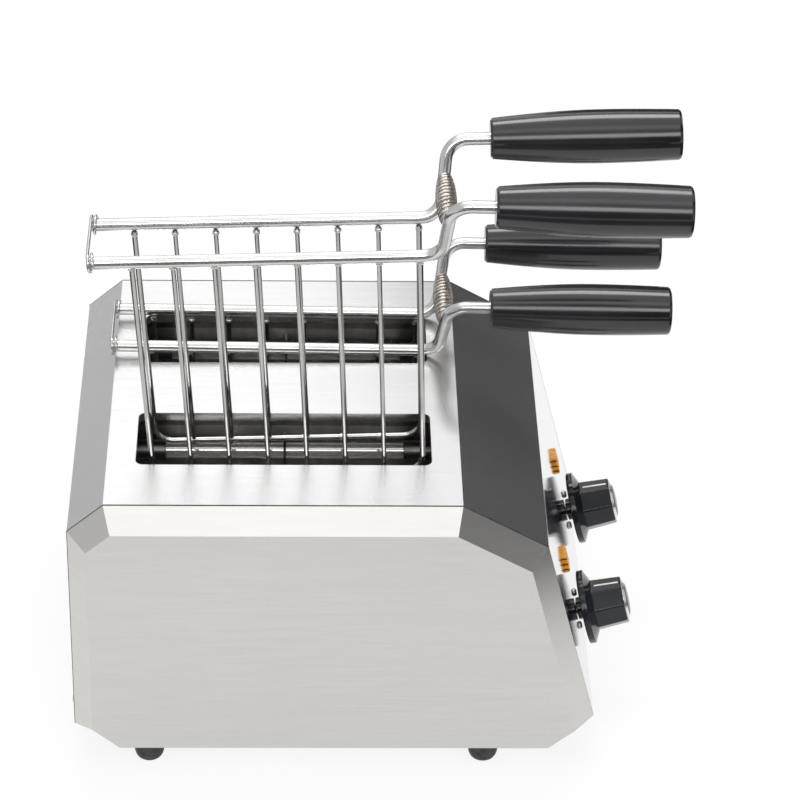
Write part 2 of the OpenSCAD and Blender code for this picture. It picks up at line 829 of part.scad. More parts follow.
module knob(x) {
    flange_front = knob_stand + knob_flange_h;
    grip_start = flange_front - knob_grip_sink;
    grip_end = knob_stand + knob_length;
    color("black")
        on_control_panel(x, knob_drop)
            difference() {
                union() {
                    rotate_extrude()
                        polygon([
                            [0, knob_collar_gap], [knob_collar_d / 2, knob_collar_gap], [knob_collar_d / 2, knob_stand],
                            [knob_flange_d / 2 - knob_edge, knob_stand], [knob_flange_d / 2, knob_stand + knob_edge],
                            [knob_flange_d / 2, flange_front - knob_edge], [knob_flange_d / 2 - knob_edge, flange_front],
                            [knob_grip_d / 2 - knob_cone_sink, flange_front + knob_cone_h], [0, flange_front + knob_cone_h]
                        ]);
                    rotate([0, 0, 180 / knob_facets])
                        translate([0, 0, grip_start])
                            cylinder(d1 = knob_grip_d, d2 = knob_end_d, h = grip_end - grip_start, $fn = knob_facets);
                }
                translate([0, 0, -overcut])
                    cylinder(r = shaft_d / 2 + turn_gap, h = knob_stand + shaft_in_knob + 2 * overcut);
                translate([0, 0, grip_end - cap_sink])
                    cylinder(d = cap_d + 2 * hole_gap, h = cap_sink + overcut);
            }
}

module left_knob() knob(control_xs[0]);
module right_knob() knob(control_xs[1]);

// Bright disc set into a knob's end
module knob_cap(x) {
    color("white")
        on_control_panel(x, knob_drop)
            translate([0, 0, knob_stand + knob_length - cap_sink])
                cylinder(d = cap_d, h = cap_sink + cap_proud);
}

module left_knob_cap() knob_cap(control_xs[0]);
module right_knob_cap() knob_cap(control_xs[1]);

// Pilot lamp lens with a bevelled face, and the lamp behind it
lamp_bevel = 1;
lamp_neck_length = 7;
lamp_body_edge = 15;
lamp_body_depth = 20;

module lamp(x) {
    color("orange")
        on_control_panel(x, lamp_drop) {
            translate([-lamp_edge / 2, -lamp_edge / 2, 0])
                cube([lamp_edge, lamp_edge, lamp_reach - lamp_bevel]);
            rotate([90, 0, 0])
                linear_extrude(height = lamp_edge, center = true)
                    polygon([[-lamp_edge / 2, 0], [lamp_edge / 2, 0], [lamp_edge / 2, lamp_reach - lamp_bevel],
                             [lamp_edge / 2 - lamp_bevel, lamp_reach], [lamp_bevel - lamp_edge / 2, lamp_reach],
                             [-lamp_edge / 2, lamp_reach - lamp_bevel]]);
            translate([-lamp_neck / 2, -lamp_neck / 2, -lamp_neck_length])
                cube([lamp_neck, lamp_neck, lamp_neck_length]);
        }
}

module left_lamp() lamp(control_xs[0]);
module right_lamp() lamp(control_xs[1]);

module lamp_body(x) {
    pocket = lamp_neck + 2 * hole_gap;
    pocket_depth = lamp_neck_length - sheet;
    color("darkslategray")
        on_control_panel(x, lamp_drop)
            difference() {
                translate([0, 0, -sheet - lamp_body_depth / 2])
                    cube([lamp_body_edge, lamp_body_edge, lamp_body_depth], center = true);
                translate([-pocket / 2, -pocket / 2, -sheet - pocket_depth])
                    cube([pocket, pocket, pocket_depth + overcut]);
            }
}

module left_lamp_body() lamp_body(control_xs[0]);
module right_lamp_body() lamp_body(control_xs[1]);

// Terminal block on the base pan, in the control compartment
terminal_size = [54, 22, 18];
terminal_hole_d = 6;
terminal_pitch = 16;
terminal_gap = 4;

module terminal_block() {
    base_y = bulkhead_front_y - bulkhead_foot - terminal_gap - terminal_size[1] / 2;
    color("beige")
        difference() {
            box_at([0, base_y, pan_top + terminal_size[2] / 2], terminal_size);
            for (i = [-1 : 1])
                translate([i * terminal_pitch, base_y, pan_top + terminal_size[2] / 2])
                    cylinder(d = terminal_hole_d, h = terminal_size[2]);
        }
}

// Gland for the supply cord in the rear wall
gland_flange_d = 23;
gland_flange_h = 3;
gland_neck = 8;
gland_bore_d = 8;
gland_nut = 4;
gland_taper = 3;

module cable_gland() {
    color("black")
        translate([gland_x, rear_y, gland_z])
            rotate([-90, 0, 0])
                difference() {
                    union() {
                        cylinder(d = gland_flange_d, h = gland_flange_h);
                        cylinder(d1 = gland_d, d2 = gland_d - gland_taper, h = gland_neck);
                        translate([0, 0, -sheet - gland_nut])
                            cylinder(d = gland_d - 2 * hole_gap, h = sheet + gland_nut);
                        translate([0, 0, -sheet - gland_nut])
                            cylinder(d = gland_flange_d, h = gland_nut, $fn = 6);
                    }
                    translate([0, 0, -sheet - gland_nut - overcut])
                        cylinder(d = gland_bore_d, h = sheet + gland_nut + gland_neck + 2 * overcut);
                }
}

// Tong places: the local origin lies between the rails at the link, with the rails along Y
rail_tail = 2.1;
link_y = rear_fold_y + rail_overhang - rail_tail;
neck_low_y = rail_tail - rail_length;
neck_high_y = neck_low_y - neck_lean;
rod_end_y = neck_high_y - handle_gap - rod_in_handle;

// A seated tong rests on its link behind the slot and on the front ends of its rails
link_reach = rod_d / 2 + link_gap + link_wire_d;
tong_shift = (slot_width - rail_spacing - frame_wire_d) / 2 + cage_inset - cage_side_gap;
seat_y = slot_rear_y - cage_rear_gap - frame_wire_d / 2 + first_wire - rail_tail;
seat_z = top_height + seat_gap + link_reach;
seat_tilt = atan((link_reach - rod_d / 2) / (rail_length - rail_tail - rod_bend));

module seated_tong() {
    translate([slot_xs[1] + tong_shift, seat_y, seat_z])
        rotate([seat_tilt, 0, 0])
            children();
}

module lifted_tong() {
    translate([slot_xs[0] - tong_shift, link_y, seat_z + left_tong_lift])
        rotate([-left_tong_tilt, 0, 0])
            children();
}

module cylinder_between(p, q, radius) {
    d = q - p;
    translate(p)
        rotate([0, acos(d[2] / norm(d)), atan2(d[1], d[0])])
            cylinder(r = radius, h = norm(d));
}

// Turn of a rod at a corner, from one straight to the next
module rod_turn(before, corner, after, bend, radius) {
    d = direction(before, corner);
    e = direction(corner, after);
    angle = acos(d * e);
    start = corner - d * bend * tan(angle / 2);
    centre = corner + direction(d, e) * bend / cos(angle / 2);
    x_axis = direction(centre, start);
    z_axis = cross(x_axis, d);
    multmatrix([
        [x_axis[0], d[0], z_axis[0], centre[0]],
        [x_axis[1], d[1], z_axis[1], centre[1]],
        [x_axis[2], d[2], z_axis[2], centre[2]],
        [0, 0, 0, 1]
    ])
        rotate_extrude(angle = angle)
            translate([bend, 0])
                circle(r = radius);
}

function turn_reach(path, i, bend) =
    i == 0 || i == len(path) - 1 ? 0
    : bend * tan(acos(step_dir(path, i - 1) * step_dir(path, i)) / 2);

// Straights and turns joined into one rod by a barely larger ball at each joint
joint_swell = 0.03;

module bent_rod(path, bend, radius) {
    for (i = [0 : len(path) - 2]) {
        d = step_dir(path, i);
        cylinder_between(path[i] + d * turn_reach(path, i, bend), path[i + 1] - d * turn_reach(path, i + 1, bend), radius);
    }
    for (i = [1 : len(path) - 2]) {
        reach = turn_reach(path, i, bend);
        rod_turn(path[i - 1], path[i], path[i + 1], bend, radius);
        for (joint = [path[i] - step_dir(path, i - 1) * reach, path[i] + step_dir(path, i) * reach])
            translate(joint)
                sphere(r = radius + joint_swell);
    }
}

// Rod of one tong half: the rail, the neck and the stretch inside the handle
module tong_rod(side, droop = 0) {
    rail_x = side * rail_spacing / 2;
    handle_x = side * (rail_spacing / 2 + neck_spread);
    color("silver")
        bent_rod([
            [rail_x, rail_tail, 0],
            [rail_x, neck_low_y, 0],
            [handle_x, neck_high_y, neck_rise],
            [handle_x, rod_end_y, neck_rise - (neck_high_y - rod_end_y) * tan(droop)]
        ], rod_bend, rod_d / 2);
}

// Wire cage of one tong half: a bent frame wire with straight uprights between its legs
weld_gap = 0.05;

function weld_z(wire) = -sqrt(pow(rod_d / 2, 2) - pow(cage_inset - wire / 2, 2)) - weld_gap;

module tong_cage(side) {
    rear_wire_y = rail_tail - first_wire;
    cage_length = (wire_count - 1) * wire_pitch;
    front_wire_y = rear_wire_y - cage_length;
    color("lightgray")
        translate([side * (rail_spacing / 2 - cage_inset), 0, 0]) {
            bent_rod([
                [0, rear_wire_y, weld_z(frame_wire_d)],
                [0, front_wire_y + cage_taper * cage_length, -cage_depth],
                [0, front_wire_y, -cage_depth],
                [0, front_wire_y, weld_z(frame_wire_d)]
            ], cage_corner, frame_wire_d / 2);
            for (i = [1 : wire_count - 2]) {
                ahead = (wire_count - 1 - i) * wire_pitch;
                cylinder_between([0, front_wire_y + cage_taper * ahead, -cage_depth - wire_tip],
                                 [0, front_wire_y + ahead, weld_z(wire_d)], wire_d / 2);
            }
        }
}

// Turned handle that swells towards the palm
handle_edge = 1.5;
handle_dome = 2;
swell_place = 0.58;
handle_steps = 14;

function handle_radius(u) =
    u < swell_place
    ? handle_start_d / 2 + (handle_swell_d - handle_start_d) / 2 * sin(90 * u / swell_place)
    : handle_swell_d / 2 - (handle_swell_d - handle_end_d) / 2 * (1 - cos(90 * (u - swell_place) / (1 - swell_place)));

handle_body = handle_length - handle_edge - handle_dome;
handle_profile = concat(
    [[0, 0], [handle_start_d / 2 - handle_edge, 0]],
    [for (i = [0 : handle_steps]) [handle_radius(i / handle_steps), handle_edge + handle_body * i / handle_steps]],
    [[handle_end_d / 2 - handle_dome / 3, handle_length - handle_dome / 3],
     [handle_end_d / 2 - handle_dome, handle_length], [0, handle_length]]
);

module tong_handle(side, droop = 0) {
    color("black")
        translate([side * (rail_spacing / 2 + neck_spread), neck_high_y, neck_rise])
            rotate([90 + droop, 0, 0])
                translate([0, 0, handle_gap])
                    difference() {
                        rotate_extrude()
                            polygon(handle_profile);
                        translate([0, 0, -overcut])
                            cylinder(r = rod_d / 2 + turn_gap, h = rod_in_handle + 2 * overcut);
                    }
}

// Tube swept along a path of points, with rings that don't twist
function path_tangent(path, i) =
    direction(path[max(i - 1, 0)], path[min(i + 1, len(path) - 1)]);
function square_to(v, t) = (v - t * (v * t)) / norm(v - t * (v * t));
function ring_normals(path, first) = [
    for (i = 0, n = square_to(first, path_tangent(path, 0)); i < len(path);
         i = i + 1, n = i < len(path) ? square_to(n, path_tangent(path, i)) : n) n
];

module swept_tube(path, radius, first, facets) {
    normals = ring_normals(path, first);
    points = [
        for (i = [0 : len(path) - 1], k = [0 : facets - 1])
            let (n = normals[i], b = cross(path_tangent(path, i), n), a = 360 * k / facets)
            path[i] + radius * (cos(a) * n + sin(a) * b)
    ];
    end = (len(path) - 1) * facets;
    faces = concat(
        [for (k = [1 : facets - 2]) [0, k + 1, k]],
        [for (k = [1 : facets - 2]) [end, end + k, end + k + 1]],
        [for (i = [0 : len(path) - 2], k = [0 : facets - 1])
            [i * facets + k, i * facets + (k + 1) % facets, (i + 1) * facets + k]],
        [for (i = [0 : len(path) - 2], k = [0 : facets - 1])
            [i * facets + (k + 1) % facets, (i + 1) * facets + (k + 1) % facets, (i + 1) * facets + k]]
    );
    polyhedron(points = points, faces = reversed(faces));
}

// Least gap between points of a wire that lie at least half a turn apart
function least_gap(path, apart, wire) =
    min([for (i = [0 : len(path) - 1 - apart], j = [i + apart : len(path) - 1]) norm(path[i] - path[j])]) - wire;

// Barrel spring between the two necks
wire_facets = 6;
spring_rings = 8;
spring_clearance = 0.3;
neck_middle = 0.58;
neck_path = [neck_spread, -neck_lean, neck_rise];
spring_y = neck_low_y - neck_middle * neck_lean;
spring_z = neck_middle * neck_rise;
neck_half = rail_spacing / 2 + neck_middle * neck_spread;
neck_cut = rod_d / 2 / sqrt(1 - pow(neck_spread / norm(neck_path), 2));
end_drop = (spring_end_d - spring_wire_d) / 2 * neck_spread / neck_rise;
spring_half = neck_half - neck_cut - end_drop - spring_wire_d / 2 - spring_clearance;

function spring_radius(u) =
    (spring_end_d - spring_wire_d) / 2 + (spring_mid_d - spring_end_d) / 2 * pow(sin(180 * u), 0.6);

spring_path = [
    for (i = [0 : spring_turns * spring_rings])
        let (u = i / (spring_turns * spring_rings), a = 360 * i / spring_rings - 90, r = spring_radius(u))
        [spring_half * (2 * u - 1), spring_y + r * cos(a), spring_z + r * sin(a)]
];
echo(spring_least_gap = least_gap(spring_path, spring_rings / 2, spring_wire_d));

module tong_spring() {
    color("gray")
        swept_tube(spring_path, spring_wire_d / 2, [0, 1, 0], wire_facets);
}

// Wire link: wound round the right rail's rear end, then over to one loop round the left rail
link_rings = 16;
link_radius = rod_d / 2 + link_gap + link_wire_d / 2;
link_pitch = link_wire_d + link_turn_gap;
link_rear = link_turns * link_pitch / 2;
left_loop_turns = 1.25;
right_steps = link_turns * link_rings;
left_steps = left_loop_turns * link_rings;
link_path = concat(
    [for (i = [0 : right_steps])
        let (a = 90 - 360 * (right_steps - i) / link_rings)
        [rail_spacing / 2 + link_radius * cos(a), link_rear - (right_steps - i) / link_rings * link_pitch,
         link_radius * sin(a)]],
    [for (i = [0 : left_steps])
        let (a = 90 + 360 * i / link_rings)
        [-rail_spacing / 2 + link_radius * cos(a), link_rear - i / link_rings * link_pitch, link_radius * sin(a)]]
);
echo(link_least_gap = least_gap(link_path, link_rings / 2, link_wire_d));

module tong_link() {
    color("gray")
        swept_tube(link_path, link_wire_d / 2, [0, 1, 0], wire_facets);
}

module left_tong_left_rod() lifted_tong() tong_rod(-1, held_droop);
module left_tong_right_rod() lifted_tong() tong_rod(1);
module left_tong_left_cage() lifted_tong() tong_cage(-1);
module left_tong_right_cage() lifted_tong() tong_cage(1);
module left_tong_left_handle() lifted_tong() tong_handle(-1, held_droop);
module left_tong_right_handle() lifted_tong() tong_handle(1);
module left_tong_link() lifted_tong() tong_link();
module left_tong_spring() lifted_tong() tong_spring();
module right_tong_left_rod() seated_tong() tong_rod(-1);
module right_tong_right_rod() seated_tong() tong_rod(1);
module right_tong_left_cage() seated_tong() tong_cage(-1);
module right_tong_right_cage() seated_tong() tong_cage(1);
module right_tong_left_handle() seated_tong() tong_handle(-1);
module right_tong_right_handle() seated_tong() tong_handle(1);
module right_tong_link() seated_tong() tong_link();
module right_tong_spring() seated_tong() tong_spring();

top_cover();
left_side_panel();
right_side_panel();
base_pan();
front_left_foot();
front_right_foot();
rear_left_foot();
rear_right_foot();
foot_screws();
casing_screws();
crumb_tray();
front_bulkhead();
rear_bulkhead();
reflector_1();
reflector_2();
reflector_3();
reflector_4();
quartz_tubes_1();
quartz_tubes_2();
quartz_tubes_3();
quartz_tubes_4();
heating_coils_1();
heating_coils_2();
heating_coils_3();
heating_coils_4();
tube_holders();
tube_supports();
left_timer();
right_timer();
timer_screws();
left_knob();
right_knob();
left_knob_cap();
right_knob_cap();
left_lamp();
right_lamp();
left_lamp_body();
right_lamp_body();
terminal_block();
cable_gland();
left_tong_left_rod();
left_tong_right_rod();
left_tong_left_cage();
left_tong_right_cage();
left_tong_left_handle();
left_tong_right_handle();
left_tong_link();
left_tong_spring();
right_tong_left_rod();
right_tong_right_rod();
right_tong_left_cage();
right_tong_right_cage();
right_tong_left_handle();
right_tong_right_handle();
right_tong_link();
right_tong_spring();
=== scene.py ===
"""Looks of the two-slot sandwich toaster: materials, fine pieces, light and camera round the CAD frame."""

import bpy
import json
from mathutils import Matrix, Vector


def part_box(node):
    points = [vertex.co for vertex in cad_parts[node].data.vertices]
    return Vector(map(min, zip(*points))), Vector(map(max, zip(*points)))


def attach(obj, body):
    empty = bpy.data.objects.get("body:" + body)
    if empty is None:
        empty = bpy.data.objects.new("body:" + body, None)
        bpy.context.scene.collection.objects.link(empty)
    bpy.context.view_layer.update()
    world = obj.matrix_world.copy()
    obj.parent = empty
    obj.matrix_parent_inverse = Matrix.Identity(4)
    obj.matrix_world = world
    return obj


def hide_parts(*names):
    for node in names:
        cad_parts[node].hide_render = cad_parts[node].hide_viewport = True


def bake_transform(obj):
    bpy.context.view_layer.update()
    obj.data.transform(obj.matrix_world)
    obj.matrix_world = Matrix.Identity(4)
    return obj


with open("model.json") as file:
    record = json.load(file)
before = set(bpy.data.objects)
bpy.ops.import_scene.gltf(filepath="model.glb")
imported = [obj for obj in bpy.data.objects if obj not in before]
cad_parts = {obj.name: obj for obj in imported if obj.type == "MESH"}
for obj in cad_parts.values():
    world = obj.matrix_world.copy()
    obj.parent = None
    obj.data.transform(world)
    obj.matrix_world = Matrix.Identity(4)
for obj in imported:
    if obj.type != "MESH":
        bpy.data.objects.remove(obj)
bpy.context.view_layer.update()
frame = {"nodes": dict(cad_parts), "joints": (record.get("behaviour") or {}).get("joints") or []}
rear_wall_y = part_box("top_cover")[1][1]

import json
import math
import random

import bmesh
import bpy
from mathutils import Matrix, Vector, noise

# Lengths below are in millimetres unless their name says otherwise.
MM = 0.001
X_AXIS = Vector((1, 0, 0))
Y_AXIS = Vector((0, 1, 0))
Z_AXIS = Vector((0, 0, 1))

# Tong, in its own frame: origin at the link, rails along -Y, cages down
RAIL_X = 23
NECK_LOW_Y = -217.4
NECK_LEAN = 6
NECK_RISE = 46
NECK_MIDDLE = 0.58
CAGE_X = 20
CAGE_TOP = -3.8
CAGE_BOTTOM = -164
CAGE_TAPER = 0.97
FIRST_WIRE_Y = -24.9
WIRE_PITCH = 25.6
WIRE_COUNT = 8
TOP_BEAD = (2.3, 2.4, 2.0)
TOP_BEAD_OUT = 0.3
TOP_BEAD_DROP = 2.2
BOTTOM_BEAD = (2.2, 2.3, 2.1)
BEAD_LUMP = 0.22
BEAD_LUMP_SCALE = 1.7
BEAD_SEEDS = 50
SPRING_Y = NECK_LOW_Y - NECK_MIDDLE * NECK_LEAN
SPRING_Z = NECK_MIDDLE * NECK_RISE
SPRING_TURNS = 13
SPRING_TURN_STEPS = 24
SPRING_SIDES = 12
SPRING_WIRE_D = 1.8
SPRING_HALF = 26.74
SPRING_MID_D = 13.5
SPRING_END_D = 8
LINK_RADIUS = 5.55
LINK_WIRE_D = 2.2
LINK_SIDES = 14
LINK_PITCH = 2.65
LINK_TURNS = 1.25
LINK_REAR_Y = 1.656

# Housing's side profile, from its rear wall forward
COVER_WIDTH = 267
REAR_BOTTOM = 22
TOP_HEIGHT = 199
CHAMFER_RUN = 23.5
CHAMFER_DROP = 20.5
TOP_LENGTH = 228
SLOPE_RUN = 55.5
SLOPE_DROP = 32
CONTROL_RUN = 35.5
CONTROL_BOTTOM = 29
SEAM = 0.6
SEAM_STRIP_D = 1.3
SEAM_STRIP_SIDES = 8
SEAM_STRIP_SINK = 0.4
CONTROL_STRIP_SINK = 0.58

# Bend radii of the sheets, and the control panel's polish as a part of the cover's roughness
PANEL_BEND = 0.6
COVER_BEND = 0.45
POLISH_BLEND = 1.5
POLISHED_ROUGH = 0.33

# Knob, along its axis from the control panel
FLANGE_SIDES = 96
FLANGE_D = 50
FLANGE_H = 4.5
KNOB_STAND = 4.5
KNOB_LENGTH = 28.5
KNOB_TIP = KNOB_STAND + KNOB_LENGTH
COLLAR_D = 15
COLLAR_GAP = 0.5
COLLAR_EDGE = 0.4
COLLAR_FILLET = 0.5
RIM_EDGE = 0.7
RIM_ROUND = 0.2
RIM_LAND = 1.2
RIM_LAND_RISE = 0.1
SHAFT_BORE_D = 6.4
CONE_H = 4
CONE_R = 16
GRIP_D = 36
GRIP_TIP_D = 32.5
GRIP_SINK = 3
GRIP_BASE = KNOB_STAND + FLANGE_H - GRIP_SINK
GRIP_SIDES = 8
GRIP_EDGE = 0.9
END_SIDES = 72
END_RING_D = 27
END_RING_SINK = 1.2
END_RING_STEP = 0.1
END_RING_EDGE = 0.4
END_RING_LIP = 0.3
END_CAP_D = 22
END_CAP_GAP = 0.15
END_CAP_SINK = 1
END_CAP_DROP = 0.2
END_CAP_DOME = 1.4
END_RISE = 1.6
POINTER_START = 9
POINTER_STOP = 1.8
POINTER_SECTION = ((-0.8, -0.3), (-0.7, 0.12), (0.7, 0.12), (0.8, -0.3))

# Pilot lamp, square, with its lens heights as parts of its reach
LAMP_ABOVE_KNOB = 43
LAMP_SIDE = 13
LAMP_REACH = 2.8
LAMP_NECK = 10
LAMP_NECK_DEPTH = 3
LAMP_BARS = 3
LAMP_BAR_STEPS = 8
LAMP_EDGE = 0.3
LAMP_END = 0.6
LAMP_SHOULDER = 0.8
LAMP_VALLEY = 0.88
LAMP_END_RISE = 0.86

# Screws
SCREW_SIDES = 32
PAN_HEAD_D = 7
PAN_HEAD_H = 2.2
PAN_SHANK_D = 3.8
CASING_SHANK = 5.4
TIMER_HEAD_D = 5.4
TIMER_HEAD_H = 1.8
TIMER_SHANK_D = 3
TIMER_SHANK = 8
TIMER_SCREW_X = 10.5
TIMER_SCREW_Y = 6
THREAD_PITCH = 0.8
THREAD_DEPTH = 0.35
THREAD_CREST = 0.1
THREAD_ROOT = 0.25
TIP_TAPER = 0.4

# Pan head's curve and cross recess, as ratios
HEAD_CURVE = ((0.5, 0.97), (0.8, 0.8), (0.96, 0.45), (1, 0.12))
RECESS_LENGTH = 0.56
RECESS_WIDTH = 0.14
RECESS_DEPTH = 1.3
RECESS_TAPER = 0.55

# Heating coils inside the quartz tubes, and the dark sleeves on the tubes' ends, which paint the shade
# that the holders cast there
TUBE_BANKS = 4
COIL_D = 6.4
COIL_WIRE_D = 0.8
COIL_SIDES = 6
COIL_PITCH = 5
COIL_TURN_STEPS = 10
PIN_D = 2.6
PIN_SIDES = 10
PIN_LENGTH = 18
TUBE_D = 11
CLEAR_TUBE_HALF = 79
SLEEVE_SIDES = 32
SLEEVE_D = 14
SLEEVE_EDGE = 0.5


# Mesh helpers

def place(origin, x_axis, y_axis, z_axis):
    """Matrix that takes local millimetres to the frame's metres."""
    turn = Matrix((x_axis, y_axis, z_axis)).transposed().to_4x4()
    return Matrix.Translation(origin) @ turn @ Matrix.Scale(MM, 4)


def scene_object(name, data):
    """Puts a mesh, lamp or camera into the scene."""
    obj = bpy.data.objects.new(name, data)
    bpy.context.scene.collection.objects.link(obj)
    return obj


def mesh_object(name, verts, faces, smooth=True):
    """Object from lists of vertices and faces, in metres."""
    mesh = bpy.data.meshes.new(name)
    mesh.from_pydata(verts, [], faces)
    mesh.update()
    mesh.polygons.foreach_set("use_smooth", [smooth] * len(mesh.polygons))
    return scene_object(name, mesh)


def bmesh_object(name, shape, smooth=True):
    """Object from a bmesh, with its faces turned outward."""
    mesh = bpy.data.meshes.new(name)
    bmesh.ops.recalc_face_normals(shape, faces=shape.faces)
    shape.to_mesh(mesh)
    shape.free()
    mesh.polygons.foreach_set("use_smooth", [smooth] * len(mesh.polygons))
    return scene_object(name, mesh)


def add_tube(verts, faces, path, radius, sides):
    """Adds a round tube with rounded ends along a path to the vertex and face lists."""
    points = [Vector(p) for p in path]
    first = (points[1] - points[0]).normalized()
    last = (points[-1] - points[-2]).normalized()
    end_reach = radius * 0.45
    end_radius = radius * 0.55
    rings = [(points[0] - first * end_reach, first, end_radius)]
    for index, point in enumerate(points):
        before = points[max(index - 1, 0)]
        after = points[min(index + 1, len(points) - 1)]
        rings.append((point, (after - before).normalized(), radius))
    rings.append((points[-1] + last * end_reach, last, end_radius))

    start = len(verts)
    side = first.orthogonal().normalized()
    for centre, along, size in rings:
        side = (side - along * side.dot(along)).normalized()
        other = along.cross(side)
        for step in range(sides):
            angle = 2 * math.pi * step / sides
            verts.append(centre + (side * math.cos(angle) + other * math.sin(angle)) * size)
    for ring in range(len(rings) - 1):
        for step in range(sides):
            a = start + ring * sides + step
            b = start + ring * sides + (step + 1) % sides
            faces.append((a, b, b + sides, a + sides))
    faces.append(tuple(start + step for step in reversed(range(sides))))
    faces.append(tuple(start + (len(rings) - 1) * sides + step for step in range(sides)))


def tube_object(name, paths, radius, sides, matrix):
    """Object of round tubes along paths in local millimetres."""
    verts, faces = [], []
    for path in paths:
        add_tube(verts, faces, path, radius, sides)
    return mesh_object(name, [matrix @ v for v in verts], faces)


def lathe(shape, profile, sides, matrix):
    """Turns (radius, height) points round the local Z axis into a bmesh."""
    rings = []
    for radius, height in profile:
        if radius == 0:
            rings.append([shape.verts.new(matrix @ Vector((0, 0, height)))])
            continue
        ring = []
        for step in range(sides):
            angle = 2 * math.pi * step / sides
            corner = Vector((radius * math.cos(angle), radius * math.sin(angle), height))
            ring.append(shape.verts.new(matrix @ corner))
        rings.append(ring)
    for low, high in zip(rings, rings[1:]):
        for step in range(sides):
            corners = [low[step % len(low)], low[(step + 1) % len(low)]]
            corners += [high[(step + 1) % len(high)], high[step % len(high)]]
            unique = list(dict.fromkeys(corners))
            if len(unique) > 2:
                shape.faces.new(unique)


def islands(node):
    """Lowest and highest corner of each separate solid in a CAD node, in metres and in a fixed order."""
    obj = frame["nodes"][node]
    shape = bmesh.new()
    shape.from_mesh(obj.data)
    bmesh.ops.remove_doubles(shape, verts=shape.verts, dist=0.001 * MM)
    left = set(shape.verts)
    boxes = []
    while left:
        todo = [left.pop()]
        points = []
        while todo:
            vert = todo.pop()
            points.append(obj.matrix_world @ vert.co)
            near = {edge.other_vert(vert) for edge in vert.link_edges} & left
            left -= near
            todo += near
        boxes.append((Vector(map(min, *points)), Vector(map(max, *points))))
    shape.free()
    return sorted(boxes, key=lambda box: tuple(box[0]))


def soften(node, width):
    """Gives a sheet node's folds and edges a small radius."""
    obj = frame["nodes"][node]
    weld = obj.modifiers.new("joined corners", "WELD")
    weld.merge_threshold = 0.002 * MM
    merge = obj.modifiers.new("whole faces", "DECIMATE")
    merge.decimate_type = "DISSOLVE"
    merge.angle_limit = math.radians(0.5)
    round_off = obj.modifiers.new("bend radius", "BEVEL")
    round_off.width = width * MM
    round_off.segments = 2
    round_off.limit_method = "ANGLE"
    round_off.angle_limit = math.radians(18)
    normals = obj.modifiers.new("flat faces", "WEIGHTED_NORMAL")
    normals.weight = 100


def split_edges(obj, degrees):
    """Keeps edges sharp where their faces meet at more than an angle."""
    obj.modifiers.new("sharp edges", "EDGE_SPLIT").split_angle = math.radians(degrees)


def add_bead(shape, centre, size, seed, matrix):
    """Adds a small uneven weld bead."""
    made = bmesh.ops.create_icosphere(shape, subdivisions=2, radius=1)
    for vert in made["verts"]:
        lump = 1 + BEAD_LUMP * noise.noise(vert.co * BEAD_LUMP_SCALE + X_AXIS * seed)
        local = Vector((vert.co.x * size[0], vert.co.y * size[1], vert.co.z * size[2])) * lump
        vert.co = matrix @ (Vector(centre) + local)


# Material helpers

def new_material(name, base, metallic, roughness):
    """Principled material; returns its material, node tree and shader."""
    made = bpy.data.materials.new(name)
    made.use_nodes = True
    tree = made.node_tree
    shader = tree.nodes["Principled BSDF"]
    shader.inputs["Base Color"].default_value = (*base, 1)
    shader.inputs["Metallic"].default_value = metallic
    shader.inputs["Roughness"].default_value = roughness
    return made, tree, shader


def noise_field(tree, scale, detail=3.0, rough=0.55):
    """Noise whose scale per metre differs along X, Y and Z."""
    coordinates = tree.nodes.new("ShaderNodeTexCoord")
    mapping = tree.nodes.new("ShaderNodeMapping")
    mapping.inputs["Scale"].default_value = scale
    field = tree.nodes.new("ShaderNodeTexNoise")
    field.inputs["Scale"].default_value = 1.0
    field.inputs["Detail"].default_value = detail
    field.inputs["Roughness"].default_value = rough
    tree.links.new(coordinates.outputs["Object"], mapping.inputs["Vector"])
    tree.links.new(mapping.outputs["Vector"], field.inputs["Vector"])
    return field.outputs["Fac"]


def spread(tree, field, low, high, to_low, to_high):
    """Maps a field from its own range to another."""
    ranged = tree.nodes.new("ShaderNodeMapRange")
    ranged.inputs["From Min"].default_value = low
    ranged.inputs["From Max"].default_value = high
    ranged.inputs["To Min"].default_value = to_low
    ranged.inputs["To Max"].default_value = to_high
    tree.links.new(field, ranged.inputs["Value"])
    return ranged.outputs["Result"]


def colours(tree, field, stops):
    """Colour ramp of (place, colour) stops over a field."""
    ramp = tree.nodes.new("ShaderNodeValToRGB")
    while len(ramp.color_ramp.elements) < len(stops):
        ramp.color_ramp.elements.new(0.5)
    for element, (position, colour) in zip(ramp.color_ramp.elements, stops):
        element.position = position
        element.color = (*colour, 1)
    tree.links.new(field, ramp.inputs["Fac"])
    return ramp.outputs["Color"]


def multiply(tree, first, second, amount):
    """First colour multiplied by the second, by an amount."""
    mix = tree.nodes.new("ShaderNodeMix")
    mix.data_type = "RGBA"
    mix.blend_type = "MULTIPLY"
    mix.inputs["Factor"].default_value = amount
    tree.links.new(first, mix.inputs["A"])
    tree.links.new(second, mix.inputs["B"])
    return mix.outputs["Result"]


def mottled(name, base, metallic, roughness, scale, stops, detail=3.0, rough=0.55):
    """Principled material whose colour is a ramp over one noise field; returns that field last."""
    made, tree, shader = new_material(name, base, metallic, roughness)
    field = noise_field(tree, scale, detail, rough)
    tree.links.new(colours(tree, field, stops), shader.inputs["Base Color"])
    return made, tree, shader, field


def uneven_shine(tree, shader, field, low, high):
    """Roughness from low to high over the middle of a field."""
    tree.links.new(spread(tree, field, 0.3, 0.7, low, high), shader.inputs["Roughness"])


def bump(tree, shader, field, strength, depth):
    """Bump of a depth in millimetres."""
    node = tree.nodes.new("ShaderNodeBump")
    node.inputs["Strength"].default_value = strength
    node.inputs["Distance"].default_value = depth * MM
    tree.links.new(field, node.inputs["Height"])
    tree.links.new(node.outputs["Normal"], shader.inputs["Normal"])


